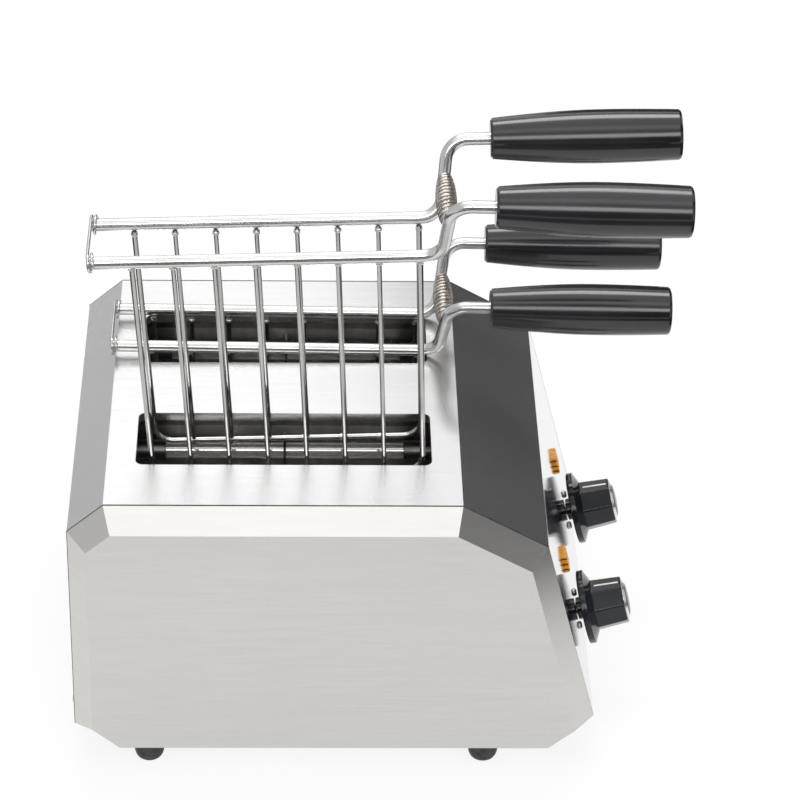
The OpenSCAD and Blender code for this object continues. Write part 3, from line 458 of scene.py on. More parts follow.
# Materials

def brushed_steel(name, base, grain_scale, low_rough, high_rough):
    """Brushed stainless sheet: fine grain, a broader streak and faint smears."""
    made, tree, shader = new_material(name, base, 1.0, low_rough)
    fine = noise_field(tree, grain_scale, 2.0)
    broad = noise_field(tree, [value * 0.3 for value in grain_scale], 2.0)
    smear = noise_field(tree, (7, 7, 7), 2.0)
    dark = [value * 0.97 for value in base]
    light = [min(value * 1.02, 1) for value in base]
    streaks = colours(tree, fine, [(0.25, dark), (0.75, light)])
    bands = colours(tree, broad, [(0.25, (0.975, 0.975, 0.975)), (0.75, (1, 1, 1))])
    tree.links.new(multiply(tree, streaks, bands, 1.0), shader.inputs["Base Color"])
    rough = spread(tree, smear, 0.0, 1.0, low_rough, high_rough)
    tree.links.new(rough, shader.inputs["Roughness"])
    return made, tree, shader, rough


def cover_sheet(name, base):
    """Cover steel whose control panel is polished brighter than the rest."""
    made, tree, shader, rough = brushed_steel(name, base, (520, 22, 22), 0.23, 0.3)
    fold_y = rear_wall_y - (CHAMFER_RUN + TOP_LENGTH + SLOPE_RUN) * MM
    coordinates = tree.nodes.new("ShaderNodeTexCoord")
    axes = tree.nodes.new("ShaderNodeSeparateXYZ")
    tree.links.new(coordinates.outputs["Object"], axes.inputs["Vector"])
    polish = spread(tree, axes.outputs["Y"], fold_y - POLISH_BLEND * MM, fold_y, POLISHED_ROUGH, 1.0)
    scaled = tree.nodes.new("ShaderNodeMath")
    scaled.operation = "MULTIPLY"
    tree.links.new(rough, scaled.inputs[0])
    tree.links.new(polish, scaled.inputs[1])
    tree.links.new(scaled.outputs[0], shader.inputs["Roughness"])
    return made


def polished_steel(name, base, low_rough, high_rough):
    """Drawn bright bar and wire with handling haze."""
    dull = [value * 0.86 for value in base]
    stops = [(0.3, dull), (0.65, base)]
    made, tree, shader, haze = mottled(name, base, 1.0, low_rough, (60, 25, 60), stops, 2.0)
    uneven_shine(tree, shader, haze, low_rough, high_rough)
    return made


def weld_metal():
    """Weld beads: grey, scaly, tinted straw by heat."""
    stops = [(0.3, (0.66, 0.62, 0.57)), (0.5, (0.8, 0.79, 0.77)), (0.7, (0.88, 0.87, 0.86))]
    made, tree, shader, scale = mottled("weld_metal", (0.6, 0.56, 0.5), 1.0, 0.35, (450, 450, 450), stops)
    bump(tree, shader, scale, 0.4, 0.3)
    return made


def spring_wire():
    """Warm grey spring wire with darker oxide flecks."""
    base = (0.5, 0.47, 0.43)
    stops = [(0.35, (0.34, 0.3, 0.26)), (0.6, (0.58, 0.55, 0.51))]
    made, tree, shader, oxide = mottled("spring_wire", base, 1.0, 0.3, (240, 240, 240), stops, 4.0)
    uneven_shine(tree, shader, oxide, 0.14, 0.28)
    bump(tree, shader, oxide, 0.15, 0.1)
    return made


def sheet_inside():
    """Mill-finish sheet inside the housing, with soot and heat stains."""
    stops = [(0.25, (0.56, 0.53, 0.5)), (0.45, (0.7, 0.69, 0.68)), (0.75, (0.78, 0.775, 0.77))]
    made, tree, shader, stain = mottled("mill_sheet", (0.5, 0.48, 0.45), 1.0, 0.42, (16, 16, 16), stops)
    uneven_shine(tree, shader, stain, 0.5, 0.34)
    return made


def soot_and_shade_sheet(name, grey):
    """Sheet sooted by use, with paler rubbed marks; its grey sets how dark it is: soot on the reflectors,
    painted shade on the tube sleeves and supports.
    """
    thick = (grey * 0.86, grey * 0.85, grey * 0.83)
    thin = (grey * 1.1, grey * 1.07, grey * 1.05)
    rubbed = (grey * 1.67, grey * 1.62, grey * 1.55)
    stops = [(0.3, thick), (0.6, thin), (0.72, rubbed)]
    made, tree, shader, soot = mottled(name, (grey, grey, grey), 1.0, 0.3, (14, 90, 14), stops, 4.0, 0.6)
    uneven_shine(tree, shader, soot, 0.4, 0.26)
    return made


def screw_metal():
    """Zinc-bright screw heads with fine turning marks."""
    base = (0.85, 0.85, 0.84)
    stops = [(0.3, (0.72, 0.72, 0.71)), (0.7, (0.9, 0.9, 0.89))]
    made, tree, shader, marks = mottled("screw_metal", base, 1.0, 0.5, (1200, 1200, 1200), stops)
    bump(tree, shader, marks, 0.12, 0.08)
    return made


def black_plastic(name, base, rough_low, rough_high, waves, shine):
    """Moulded black plastic: rubbed patches, and long shallow waves that break up its shine."""
    lighter = [value * 1.6 + 0.002 for value in base]
    stops = [(0.35, base), (0.7, lighter)]
    made, tree, shader, rubbed = mottled(name, base, 0.0, rough_low, (20, 12, 20), stops, 2.0)
    uneven_shine(tree, shader, rubbed, rough_low, rough_high)
    ripple = noise_field(tree, (55, 7, 55), 1.0)
    bump(tree, shader, ripple, 1.0, waves)
    shader.inputs["Specular IOR Level"].default_value = shine
    return made


def rubber(name):
    """Dull rubber with pale dust in its grain."""
    base = (0.022, 0.022, 0.024)
    stops = [(0.4, (0.016, 0.016, 0.018)), (0.75, (0.06, 0.058, 0.056))]
    made, tree, shader, dust = mottled(name, base, 0.0, 0.6, (160, 160, 160), stops, 5.0, 0.7)
    bump(tree, shader, dust, 0.25, 0.15)
    return made


def moulded_pale():
    """Pale heat-resisting plastic, a little yellowed."""
    stops = [(0.3, (0.5, 0.43, 0.31)), (0.65, (0.66, 0.63, 0.55))]
    return mottled("pale_moulding", (0.62, 0.58, 0.48), 0.0, 0.5, (30, 30, 30), stops, 4.0)[0]


def ceramic():
    """Unglazed ceramic with specks and scorched patches."""
    base = (0.78, 0.74, 0.66)
    stops = [(0.28, (0.42, 0.34, 0.26)), (0.45, (0.72, 0.68, 0.6)), (0.7, (0.82, 0.79, 0.72))]
    made, tree, shader, scorch = mottled("ceramic_body", base, 0.0, 0.75, (60, 60, 60), stops, 5.0, 0.7)
    bump(tree, shader, scorch, 0.2, 0.2)
    return made


def quartz_glass():
    """Milky quartz with draw lines along the tube and a strong shine from its glaze."""
    base = (0.95, 0.96, 0.96)
    stops = [(0.3, (0.72, 0.69, 0.65)), (0.7, (0.82, 0.79, 0.75))]
    made, tree, shader, lines = mottled("quartz_glass", base, 0.0, 0.04, (300, 6, 300), stops, 2.0)
    uneven_shine(tree, shader, lines, 0.0, 0.03)
    shader.inputs["Transmission Weight"].default_value = 0.8
    shader.inputs["IOR"].default_value = 1.46
    shader.inputs["Coat Weight"].default_value = 1.0
    shader.inputs["Coat IOR"].default_value = 3.2
    shader.inputs["Coat Roughness"].default_value = 0.02
    return made


def heater_metal_painted_glints():
    """Oxidised heater wire, dark brown, with sparse gold patches that are painted glints of light."""
    # The last, gold stop paints glints of light on the coil's turns.
    stops = [(0.4, (0.16, 0.14, 0.12)), (0.6, (0.24, 0.2, 0.16)), (0.68, (0.85, 0.6, 0.3))]
    return mottled("heater_metal_painted_glints", (0.2, 0.17, 0.14), 0.4, 0.5, (120, 90, 120), stops, 2.0)[0]


def amber_glass():
    """Amber lamp lens with dark brown lines between its inner bars."""
    made, tree, shader = new_material("amber_glass", (0.85, 0.34, 0.03), 0.0, 0.6)
    coordinates = tree.nodes.new("ShaderNodeTexCoord")
    bars = tree.nodes.new("ShaderNodeTexWave")
    bars.bands_direction = "Z"
    bars.inputs["Scale"].default_value = 75
    bars.inputs["Distortion"].default_value = 0.6
    bars.inputs["Detail"].default_value = 2
    bars.inputs["Detail Scale"].default_value = 3
    tree.links.new(coordinates.outputs["Object"], bars.inputs["Vector"])
    flecks = noise_field(tree, (420, 420, 420), 2.0)
    lines = colours(tree, bars.outputs["Fac"], [(0.06, (0.08, 0.02, 0.004)), (0.2, (0.72, 0.24, 0.006)),
                                                (0.8, (0.92, 0.4, 0.015))])
    spots = colours(tree, flecks, [(0.34, (0.5, 0.38, 0.3)), (0.46, (1, 1, 1))])
    tree.links.new(multiply(tree, lines, spots, 0.8), shader.inputs["Base Color"])
    shader.inputs["Transmission Weight"].default_value = 0.2
    shader.inputs["Specular IOR Level"].default_value = 0.12
    return made


def pointer_paint():
    """White pointer paint with worn spots."""
    stops = [(0.3, (0.5, 0.5, 0.49)), (0.42, (0.88, 0.88, 0.86))]
    return mottled("pointer_paint", (0.85, 0.85, 0.83), 0.0, 0.45, (500, 500, 500), stops)[0]


cover_steel = cover_sheet("cover_steel", (0.71, 0.71, 0.71))
panel_steel = brushed_steel("panel_steel", (0.64, 0.632, 0.608), (28, 28, 620), 0.24, 0.32)[0]
disc_steel = brushed_steel("disc_steel", (0.78, 0.78, 0.77), (900, 40, 40), 0.2, 0.26)[0]
bar_steel = polished_steel("polished_bar", (0.7, 0.695, 0.685), 0.2, 0.28)
# Cage wires: the rails' polished steel with a darker base, painted shade for the dark surroundings that
# they reflect.
shaded_wire_steel = polished_steel("cage_wire_painted_shade", (0.5, 0.495, 0.485), 0.07, 0.16)
# Dark strip that makes the seam lines between cover and side panels dark.
seam_dark = rubber("seam_strip_black")
bead_metal = weld_metal()
wire_spring = spring_wire()
inner_steel = sheet_inside()
reflector_steel = soot_and_shade_sheet("reflector_metal", 0.42)
# Tube sleeves: a near-black grey that paints the shade the holders cast on the tubes' ends.
shade_sleeve_steel = soot_and_shade_sheet("sleeve_painted_shade", 0.13)
screw_zinc = screw_metal()
handle_black = black_plastic("handle_black", (0.01, 0.01, 0.012), 0.14, 0.22, 0.25, 0.65)
knob_black = black_plastic("knob_black_blue", (0.008, 0.009, 0.013), 0.12, 0.18, 0.03, 0.38)
gland_black = black_plastic("gland_black", (0.02, 0.02, 0.021), 0.4, 0.5, 0.02, 0.5)
rubber_black = rubber("foot_rubber_black")
pale_plastic = moulded_pale()
white_ceramic = ceramic()
quartz = quartz_glass()
heater = heater_metal_painted_glints()
amber = amber_glass()
paint = pointer_paint()

SLOT_MATERIALS = {
    "brushed_housing": cover_steel,
    "inner_sheet": inner_steel,
    "reflector_sheet": reflector_steel,
    "bright_steel": bar_steel,
    "spring_steel": wire_spring,
    "screw_steel": screw_zinc,
    "black_handle": handle_black,
    "black_knob": knob_black,
    "knob_disc": disc_steel,
    "amber_lens": amber,
    "inner_plastic": pale_plastic,
    "gland_plastic": gland_black,
    "foot_rubber": rubber_black,
    "quartz": quartz,
    "heater_wire": heater,
    "ceramic": white_ceramic,
}

for obj in frame["nodes"].values():
    for slot in obj.material_slots:
        slot.material = SLOT_MATERIALS[slot.material.name.split(".")[0]]
for name in ("left_side_panel", "right_side_panel"):
    frame["nodes"][name].material_slots[0].material = panel_steel
    soften(name, PANEL_BEND)
soften("top_cover", COVER_BEND)
for tong in ("left", "right"):
    for half in ("left", "right"):
        frame["nodes"]["%s_tong_%s_cage" % (tong, half)].material_slots[0].material = shaded_wire_steel
# The tube supports share the sleeves' near-black painted shade.
frame["nodes"]["tube_supports"].material_slots[0].material = shade_sleeve_steel


def dress(obj, made):
    """Gives a piece its material."""
    obj.data.materials.append(made)


# Dark strip sunk in the seams between the cover and the side panels, which makes the seam lines dark

def cover_profile():
    """Corners of the cover's side edge as (y, z), in millimetres."""
    rear = rear_wall_y / MM
    top_rear = rear - CHAMFER_RUN
    top_front = top_rear - TOP_LENGTH
    slope_front = top_front - SLOPE_RUN
    return [(rear, REAR_BOTTOM), (rear, TOP_HEIGHT - CHAMFER_DROP), (top_rear, TOP_HEIGHT),
            (top_front, TOP_HEIGHT), (slope_front, TOP_HEIGHT - SLOPE_DROP),
            (slope_front - CONTROL_RUN, CONTROL_BOTTOM)]


def sunk(points, depth):
    """The open profile moved inward by a depth."""
    moved = []
    for index, point in enumerate(points):
        shifts = []
        for a, b in ((index - 1, index), (index, index + 1)):
            if 0 <= a and b < len(points):
                along = (Vector(points[b]) - Vector(points[a])).normalized()
                shifts.append(Vector((-along.y, along.x)))
        inward = sum(shifts, Vector((0, 0))).normalized()
        moved.append(Vector(point) + inward * (depth / inward.dot(shifts[0])))
    return moved


seam_x = (COVER_WIDTH + SEAM) / 2
for side, sign in (("left", -1), ("right", 1)):
    profile = cover_profile()
    paths = []
    for points, depth in ((profile[:-1], SEAM_STRIP_SINK), (profile[-2:], CONTROL_STRIP_SINK)):
        paths.append([(sign * seam_x, y, z) for y, z in sunk(points, depth)])
    dark_strip = tube_object(side + "_seam_strip", paths, SEAM_STRIP_D / 2, SEAM_STRIP_SIDES, Matrix.Scale(MM, 4))
    dress(dark_strip, seam_dark)
    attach(dark_strip, "housing")


# Tong pieces

def joint(name):
    """A joint's entry in the frame."""
    return next(found for found in frame["joints"] if found["name"] == name)


def tong_place(side):
    """The tong's own frame: its tilt joint's place and its squeeze joint's axis."""
    up = Vector(joint(side + "_tong_squeeze")["axis"]).normalized()
    return place(Vector(joint(side + "_tong_tilt")["pos_m"]), X_AXIS, up.cross(X_AXIS), up)


def spring_path():
    """Barrel spring between the two necks, thickest in its middle."""
    steps = SPRING_TURNS * SPRING_TURN_STEPS
    points = []
    for step in range(steps + 1):
        part = step / steps
        swell = math.sin(math.pi * part) ** 0.6 if 0 < part < 1 else 0
        radius = (SPRING_END_D - SPRING_WIRE_D) / 2 + (SPRING_MID_D - SPRING_END_D) / 2 * swell
        angle = 2 * math.pi * SPRING_TURNS * part - math.pi / 2
        points.append((SPRING_HALF * (2 * part - 1),
                       SPRING_Y + radius * math.cos(angle),
                       SPRING_Z + radius * math.sin(angle)))
    return points


def link_path():
    """One wire: turns round the right rail, crosses over, turns round the left rail."""
    steps = 40
    wound = []
    for step in range(steps + 1):
        turned = LINK_TURNS * step / steps
        angle = math.pi / 2 + 2 * math.pi * turned
        wound.append((LINK_RADIUS * math.cos(angle), LINK_REAR_Y - turned * LINK_PITCH,
                      LINK_RADIUS * math.sin(angle)))
    right = [(RAIL_X - x, y, z) for x, y, z in reversed(wound)]
    left = [(-RAIL_X + x, y, z) for x, y, z in wound]
    return right + left


def weld_beads(name, side, matrix):
    """Beads where the upright wires meet the rail and the bottom wire."""
    shape = bmesh.new()
    chance = random.Random(name)
    middle_y = FIRST_WIRE_Y - (WIRE_COUNT - 1) * WIRE_PITCH / 2
    for wire in range(WIRE_COUNT):
        y = FIRST_WIRE_Y - wire * WIRE_PITCH
        top = (side * (CAGE_X + TOP_BEAD_OUT), y, CAGE_TOP - TOP_BEAD_DROP)
        add_bead(shape, top, TOP_BEAD, chance.random() * BEAD_SEEDS, matrix)
        if 0 < wire < WIRE_COUNT - 1:
            bottom = (side * CAGE_X, middle_y + (y - middle_y) * CAGE_TAPER, CAGE_BOTTOM)
            add_bead(shape, bottom, BOTTOM_BEAD, chance.random() * BEAD_SEEDS, matrix)
    return bmesh_object(name, shape)


for side in ("left", "right"):
    matrix = tong_place(side)
    right_half = side + "_tong_right_half"
    left_half = side + "_tong_left_half"

    spring = tube_object(side + "_spring_coil", [spring_path()], SPRING_WIRE_D / 2, SPRING_SIDES, matrix)
    dress(spring, wire_spring)
    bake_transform(spring)
    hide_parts(side + "_tong_spring")

    link = tube_object(side + "_link_wire", [link_path()], LINK_WIRE_D / 2, LINK_SIDES, matrix)
    dress(link, bar_steel)
    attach(link, side + "_tong_link_body")
    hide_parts(side + "_tong_link")

    for half, sign, body in (("right", 1, right_half), ("left", -1, left_half)):
        beads = weld_beads(side + "_" + half + "_welds", sign, matrix)
        dress(beads, bead_metal)
        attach(beads, body)


# Heating coils, and tube sleeves of painted shade

def coil_paths(x, z, low_y, high_y):
    """Coil between its two straight pins, in millimetres."""
    start = low_y + PIN_LENGTH
    end = high_y - PIN_LENGTH
    turns = round((end - start) / COIL_PITCH)
    steps = turns * COIL_TURN_STEPS
    helix = []
    for step in range(steps + 1):
        part = step / steps
        angle = 2 * math.pi * turns * part
        across = COIL_D / 2 * math.cos(angle)
        rise = COIL_D / 2 * math.sin(angle)
        helix.append((x + across, start + (end - start) * part, z + rise))
    pins = [[(x, low_y, z), (x, start, z)], [(x, end, z), (x, high_y, z)]]
    return helix, pins


def add_shade_sleeve(shape, x, z, clear_y, end_y):
    """Sleeve of painted shade round a tube's end, from its clear part to the bulkhead: it darkens the end
    as the holders' shade would.
    """
    facing = Y_AXIS if end_y > clear_y else -Y_AXIS
    matrix = place(Vector((x, clear_y, z)) * MM, X_AXIS, facing.cross(X_AXIS), facing)
    length = abs(end_y - clear_y)
    outer = SLEEVE_D / 2
    inner = TUBE_D / 2
    lathe(shape, [(inner, 0), (outer - SLEEVE_EDGE, 0), (outer, SLEEVE_EDGE), (outer, length),
                  (inner, length), (inner, 0)], SLEEVE_SIDES, matrix)


slot_middle_y = rear_wall_y / MM - CHAMFER_RUN - TOP_LENGTH / 2
bulkhead_front_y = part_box("reflector_1")[0][1] / MM
bulkhead_rear_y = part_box("reflector_1")[1][1] / MM
for bank in range(1, TUBE_BANKS + 1):
    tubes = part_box("quartz_tubes_%d" % bank)
    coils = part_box("heating_coils_%d" % bank)
    middle_x = (tubes[0][0] + tubes[1][0]) / 2 / MM
    low_z = tubes[0][2] / MM + TUBE_D / 2
    high_z = tubes[1][2] / MM - TUBE_D / 2
    heights = (low_z, (low_z + high_z) / 2, high_z)
    verts, faces = [], []
    for height in heights:
        helix, pins = coil_paths(middle_x, height, coils[0][1] / MM, coils[1][1] / MM)
        add_tube(verts, faces, helix, COIL_WIRE_D / 2, COIL_SIDES)
        for pin in pins:
            add_tube(verts, faces, pin, PIN_D / 2, PIN_SIDES)
    wound = mesh_object("wound_coils_%d" % bank, [v * MM for v in verts], faces)
    dress(wound, heater)
    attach(wound, "housing")
    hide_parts("heating_coils_%d" % bank)

    shape = bmesh.new()
    for height in heights:
        for sign, end_y in ((-1, bulkhead_front_y), (1, bulkhead_rear_y)):
            add_shade_sleeve(shape, middle_x, height, slot_middle_y + sign * CLEAR_TUBE_HALF, end_y)
    # These sleeves are painted shade on the tubes' ends.
    sleeves = bmesh_object("tube_end_painted_shade_sleeves_%d" % bank, shape)
    split_edges(sleeves, 30)
    dress(sleeves, shade_sleeve_steel)
    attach(sleeves, "housing")


# Knobs and lamps

def panel_place(side, up_by):
    """Control panel frame at a knob: X across, Y up the panel, Z out of it."""
    found = joint(side + "_knob_turn")
    out = -Vector(found["axis"]).normalized()
    up = out.cross(X_AXIS)
    return place(Vector(found["pos_m"]) + up * up_by * MM, X_AXIS, up, out)


def knob_flange(name, matrix):
    """Collar and flange with a coned front, turned in one piece."""
    shape = bmesh.new()
    bore = SHAFT_BORE_D / 2
    front = KNOB_STAND + FLANGE_H
    rim = FLANGE_D / 2
    collar = COLLAR_D / 2
    lathe(shape, [(bore, front + CONE_H), (bore, COLLAR_GAP), (collar - COLLAR_EDGE, COLLAR_GAP),
                  (collar, COLLAR_GAP + COLLAR_EDGE), (collar, KNOB_STAND - COLLAR_FILLET),
                  (collar + COLLAR_FILLET, KNOB_STAND), (rim - RIM_EDGE, KNOB_STAND),
                  (rim - RIM_ROUND, KNOB_STAND + RIM_ROUND), (rim, KNOB_STAND + RIM_EDGE),
                  (rim, front - RIM_EDGE), (rim - RIM_ROUND, front - RIM_ROUND), (rim - RIM_EDGE, front),
                  (rim - RIM_LAND, front + RIM_LAND_RISE), (CONE_R, front + CONE_H),
                  (bore, front + CONE_H)], FLANGE_SIDES, matrix)
    obj = bmesh_object(name, shape)
    split_edges(obj, 24)
    return obj


def knob_grip(name, matrix):
    """Tapered eight-sided grip with softened edges."""
    shape = bmesh.new()
    rings = []
    for height, corner_d in ((GRIP_BASE, GRIP_D), (KNOB_TIP, GRIP_TIP_D)):
        ring = []
        for step in range(GRIP_SIDES):
            angle = math.radians((step + 0.5) * 360 / GRIP_SIDES)
            across = corner_d / 2 * math.cos(angle)
            rise = corner_d / 2 * math.sin(angle)
            ring.append(shape.verts.new((across, rise, height)))
        rings.append(ring)
    for step in range(GRIP_SIDES):
        after = (step + 1) % GRIP_SIDES
        shape.faces.new((rings[0][step], rings[0][after], rings[1][after], rings[1][step]))
    shape.faces.new(rings[1])
    shape.normal_update()
    end = [edge for edge in shape.edges if all(vert in rings[1] for vert in edge.verts)]
    ridges = [edge for edge in shape.edges if sum(vert in rings[1] for vert in edge.verts) == 1]
    bmesh.ops.bevel(shape, geom=end + ridges, offset=GRIP_EDGE, segments=3, profile=0.5, affect="EDGES")
    shape.transform(matrix)
    obj = bmesh_object(name, shape)
    obj.modifiers.new("facet normals", "WEIGHTED_NORMAL").weight = 100
    return obj


def knob_end_ring(name, matrix):
    """Bright coned ring round the knob's end."""
    shape = bmesh.new()
    inner = END_CAP_D / 2
    outer = END_RING_D / 2
    back = KNOB_TIP - END_RING_SINK
    front = KNOB_TIP + END_RISE
    lathe(shape, [(inner, back), (outer, back), (outer, KNOB_TIP + END_RING_STEP),
                  (outer - END_RING_EDGE, KNOB_TIP + END_RING_EDGE), (inner + END_RING_LIP, front),
                  (inner, front), (inner, back)], END_SIDES, matrix)
    obj = bmesh_object(name, shape)
    split_edges(obj, 28)
    return obj


def knob_end_cap(name, matrix):
    """Black domed cap inside the ring."""
    shape = bmesh.new()
    rim = END_CAP_D / 2 - END_CAP_GAP
    foot = KNOB_TIP + END_RISE - END_CAP_DROP
    profile = [(0, KNOB_TIP - END_CAP_SINK), (rim, KNOB_TIP - END_CAP_SINK)]
    for degrees in range(0, 90, 10):
        angle = math.radians(degrees)
        profile.append((rim * math.cos(angle), foot + END_CAP_DOME * math.sin(angle)))
    profile.append((0, foot + END_CAP_DOME))
    lathe(shape, profile, END_SIDES, matrix)
    obj = bmesh_object(name, shape)
    split_edges(obj, 40)
    return obj


def pointer_line(name, matrix):
    """White line let into the grip's top facet."""
    flat = math.cos(math.pi / GRIP_SIDES) / 2
    verts, faces = [], []
    for height in (GRIP_BASE + POINTER_START, KNOB_TIP - POINTER_STOP):
        part = (height - GRIP_BASE) / (KNOB_TIP - GRIP_BASE)
        radius = (GRIP_D + (GRIP_TIP_D - GRIP_D) * part) * flat
        for x, rise in POINTER_SECTION:
            verts.append(matrix @ Vector((x, radius + rise, height)))
    for step in range(3):
        faces.append((step, step + 1, step + 5, step + 4))
    faces += [(3, 2, 1, 0), (4, 5, 6, 7)]
    return mesh_object(name, verts, faces, smooth=False)


def lamp_lens(name, matrix):
    """Lens with bars across it, chamfered at both ends, on a square neck."""
    half = LAMP_SIDE / 2
    steps = LAMP_BARS * LAMP_BAR_STEPS
    section = [(-half, 0), (-half, LAMP_REACH * LAMP_SHOULDER)]
    for step in range(steps + 1):
        part = step / steps
        hump = abs(math.sin(math.pi * LAMP_BARS * part)) ** 0.5
        y = -half + LAMP_EDGE + (LAMP_SIDE - 2 * LAMP_EDGE) * part
        section.append((y, LAMP_REACH * (LAMP_VALLEY + (1 - LAMP_VALLEY) * hump)))
    section += [(half, LAMP_REACH * LAMP_SHOULDER), (half, 0)]
    verts, faces = [], []
    rows = ((-half, LAMP_END_RISE), (-half + LAMP_END, 1), (half - LAMP_END, 1), (half, LAMP_END_RISE))
    for x, rise in rows:
        verts += [matrix @ Vector((x, y, z * rise)) for y, z in section]
    count = len(section)
    for ring in range(3):
        for step in range(count - 1):
            a = ring * count + step
            faces.append((a, a + 1, a + count + 1, a + count))
    faces.append(tuple(range(count)))
    faces.append(tuple(reversed(range(3 * count, 4 * count))))
    neck = LAMP_NECK / 2
    corners = ((-neck, -neck), (neck, -neck), (neck, neck), (-neck, neck))
    start = len(verts)
    for z in (0, -LAMP_NECK_DEPTH):
        verts += [matrix @ Vector((x, y, z)) for x, y in corners]
    for step in range(4):
        after = (step + 1) % 4
        faces.append((start + step, start + after, start + 4 + after, start + 4 + step))
    faces.append((start + 7, start + 6, start + 5, start + 4))
    obj = mesh_object(name, verts, faces)
    split_edges(obj, 35)
    return obj


for side in ("left", "right"):
    matrix = panel_place(side, 0)
    body = side + "_knob_body"
    flange = knob_flange(side + "_knob_flange", matrix)
    grip = knob_grip(side + "_knob_grip", matrix)
    ring = knob_end_ring(side + "_knob_end_ring", matrix)
    cap = knob_end_cap(side + "_knob_end_cap", matrix)
    line = pointer_line(side + "_knob_pointer", matrix)
    for piece, made, slot in ((flange, knob_black, "black_knob"), (grip, knob_black, "black_knob"),
                              (ring, disc_steel, "knob_disc"), (cap, knob_black, "black_knob"),
                              (line, paint, "knob_disc")):
        dress(piece, made)
        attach(piece, body)
    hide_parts(side + "_knob")
    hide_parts(side + "_knob_cap")

    lens = lamp_lens(side + "_lamp_lens", panel_place(side, LAMP_ABOVE_KNOB))
    dress(lens, amber)
    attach(lens, "housing")
    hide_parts(side + "_lamp")


# Screws

def screw_mesh(name, head_d, head_h, shank_d, length):
    """Pan head with a cross recess on a threaded shank, along local Z with its head below zero."""
    shape = bmesh.new()
    crown = head_d / 2
    profile = [(0, -head_h)]
    profile += [(crown * across, -head_h * depth) for across, depth in HEAD_CURVE]
    profile += [(crown, 0), (shank_d / 2, 0)]
    threads = int(length / THREAD_PITCH)
    for step in range(threads):
        z = length * (step + 0.5) / threads
        profile += [(shank_d / 2, z - THREAD_CREST), (shank_d / 2 - THREAD_DEPTH, z + THREAD_ROOT)]
    profile += [(shank_d / 2 - TIP_TAPER, length), (0, length)]
    lathe(shape, profile, SCREW_SIDES, Matrix.Identity(4))
    body = bmesh_object(name + "_blank", shape)

    cutter_shape = bmesh.new()
    long_side = head_d * RECESS_LENGTH
    short_side = head_d * RECESS_WIDTH
    for size in ((long_side, short_side), (short_side, long_side)):
        made = bmesh.ops.create_cube(cutter_shape, size=1)
        for vert in made["verts"]:
            narrow = 1 if vert.co.z < 0 else RECESS_TAPER
            z = vert.co.z * head_h * RECESS_DEPTH - head_h
            vert.co = Vector((vert.co.x * size[0] * narrow, vert.co.y * size[1], z))
    cutter = bmesh_object(name + "_cutter", cutter_shape, smooth=False)
    cut = body.modifiers.new("recess", "BOOLEAN")
    cut.object = cutter
    cut.use_self = True
    split_edges(body, 30)
    bpy.context.view_layer.update()
    mesh = bpy.data.meshes.new_from_object(body.evaluated_get(bpy.context.evaluated_depsgraph_get()))
    bpy.data.objects.remove(body)
    bpy.data.objects.remove(cutter)
    return mesh


def screw_set(name, node, mesh, places):
    """One piece with a copy of the screw mesh at each place, in the CAD node's stead."""
    shape = bmesh.new()
    for matrix in places:
        copy = bmesh.new()
        copy.from_mesh(mesh)
        copy.transform(matrix)
        moved = bpy.data.meshes.new(name + "_copy")
        copy.to_mesh(moved)
        copy.free()
        shape.from_mesh(moved)
        bpy.data.meshes.remove(moved)
    made = bpy.data.meshes.new(name)
    shape.to_mesh(made)
    shape.free()
    obj = scene_object(name, made)
    dress(obj, screw_zinc)
    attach(obj, "housing")
    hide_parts(node)


def hanging_screw(box):
    """Place of a screw whose head hangs down."""
    middle = (box[0] + box[1]) / 2
    return place(Vector((middle.x, middle.y, box[0].z + PAN_HEAD_H * MM)), X_AXIS, Y_AXIS, Z_AXIS)


def rear_screw(box):
    """Place of a screw whose head points back."""
    middle = (box[0] + box[1]) / 2
    return place(Vector((middle.x, box[1].y - PAN_HEAD_H * MM, middle.z)), X_AXIS, Z_AXIS, -Y_AXIS)


def timer_screws(side):
    """Places of the two screws behind a knob, heads outward."""
    panel = panel_place(side, 0)
    across, up, out = [Vector(panel.col[axis][:3]).normalized() for axis in range(3)]
    return [place(panel @ Vector((sign * TIMER_SCREW_X, sign * TIMER_SCREW_Y, 0)), across, -up, -out)
            for sign in (-1, 1)]


hanging = []
rear = []
for box in islands("casing_screws"):
    points_back = box[1].y - box[0].y > box[1].z - box[0].z
    if points_back:
        rear.append(box)
    else:
        hanging.append(box)
casing_screw = screw_mesh("casing_screw", PAN_HEAD_D, PAN_HEAD_H, PAN_SHANK_D, CASING_SHANK)
screw_set("casing_screw_set", "casing_screws", casing_screw,
          [hanging_screw(box) for box in hanging] + [rear_screw(box) for box in rear])
foot_boxes = islands("foot_screws")
foot_shank = (foot_boxes[0][1].z - foot_boxes[0][0].z) / MM - PAN_HEAD_H
foot_screw = screw_mesh("foot_screw", PAN_HEAD_D, PAN_HEAD_H, PAN_SHANK_D, foot_shank)
screw_set("foot_screw_set", "foot_screws", foot_screw, [hanging_screw(box) for box in foot_boxes])
timer_screw = screw_mesh("timer_screw", TIMER_HEAD_D, TIMER_HEAD_H, TIMER_SHANK_D, TIMER_SHANK)
screw_set("timer_screw_set", "timer_screws", timer_screw, timer_screws("left") + timer_screws("right"))


# Light, floor and backdrop, with lengths in metres

FLOOR_HALF_M = 7
FLOOR_WHITE = 0.85
MIDDLE_HEIGHT_M = 0.15


def stage_material(name, base):
    """Dull material with a faint mottle, for the floor and cards."""
    paler = [min(value * 1.02, 1) for value in base]
    stops = [(0.3, base), (0.7, paler)]
    made, tree, shader = mottled(name, base, 0.0, 1.0, (3, 3, 3), stops, 2.0)[:3]
    shader.inputs["Specular IOR Level"].default_value = 0.0
    return made, tree, shader


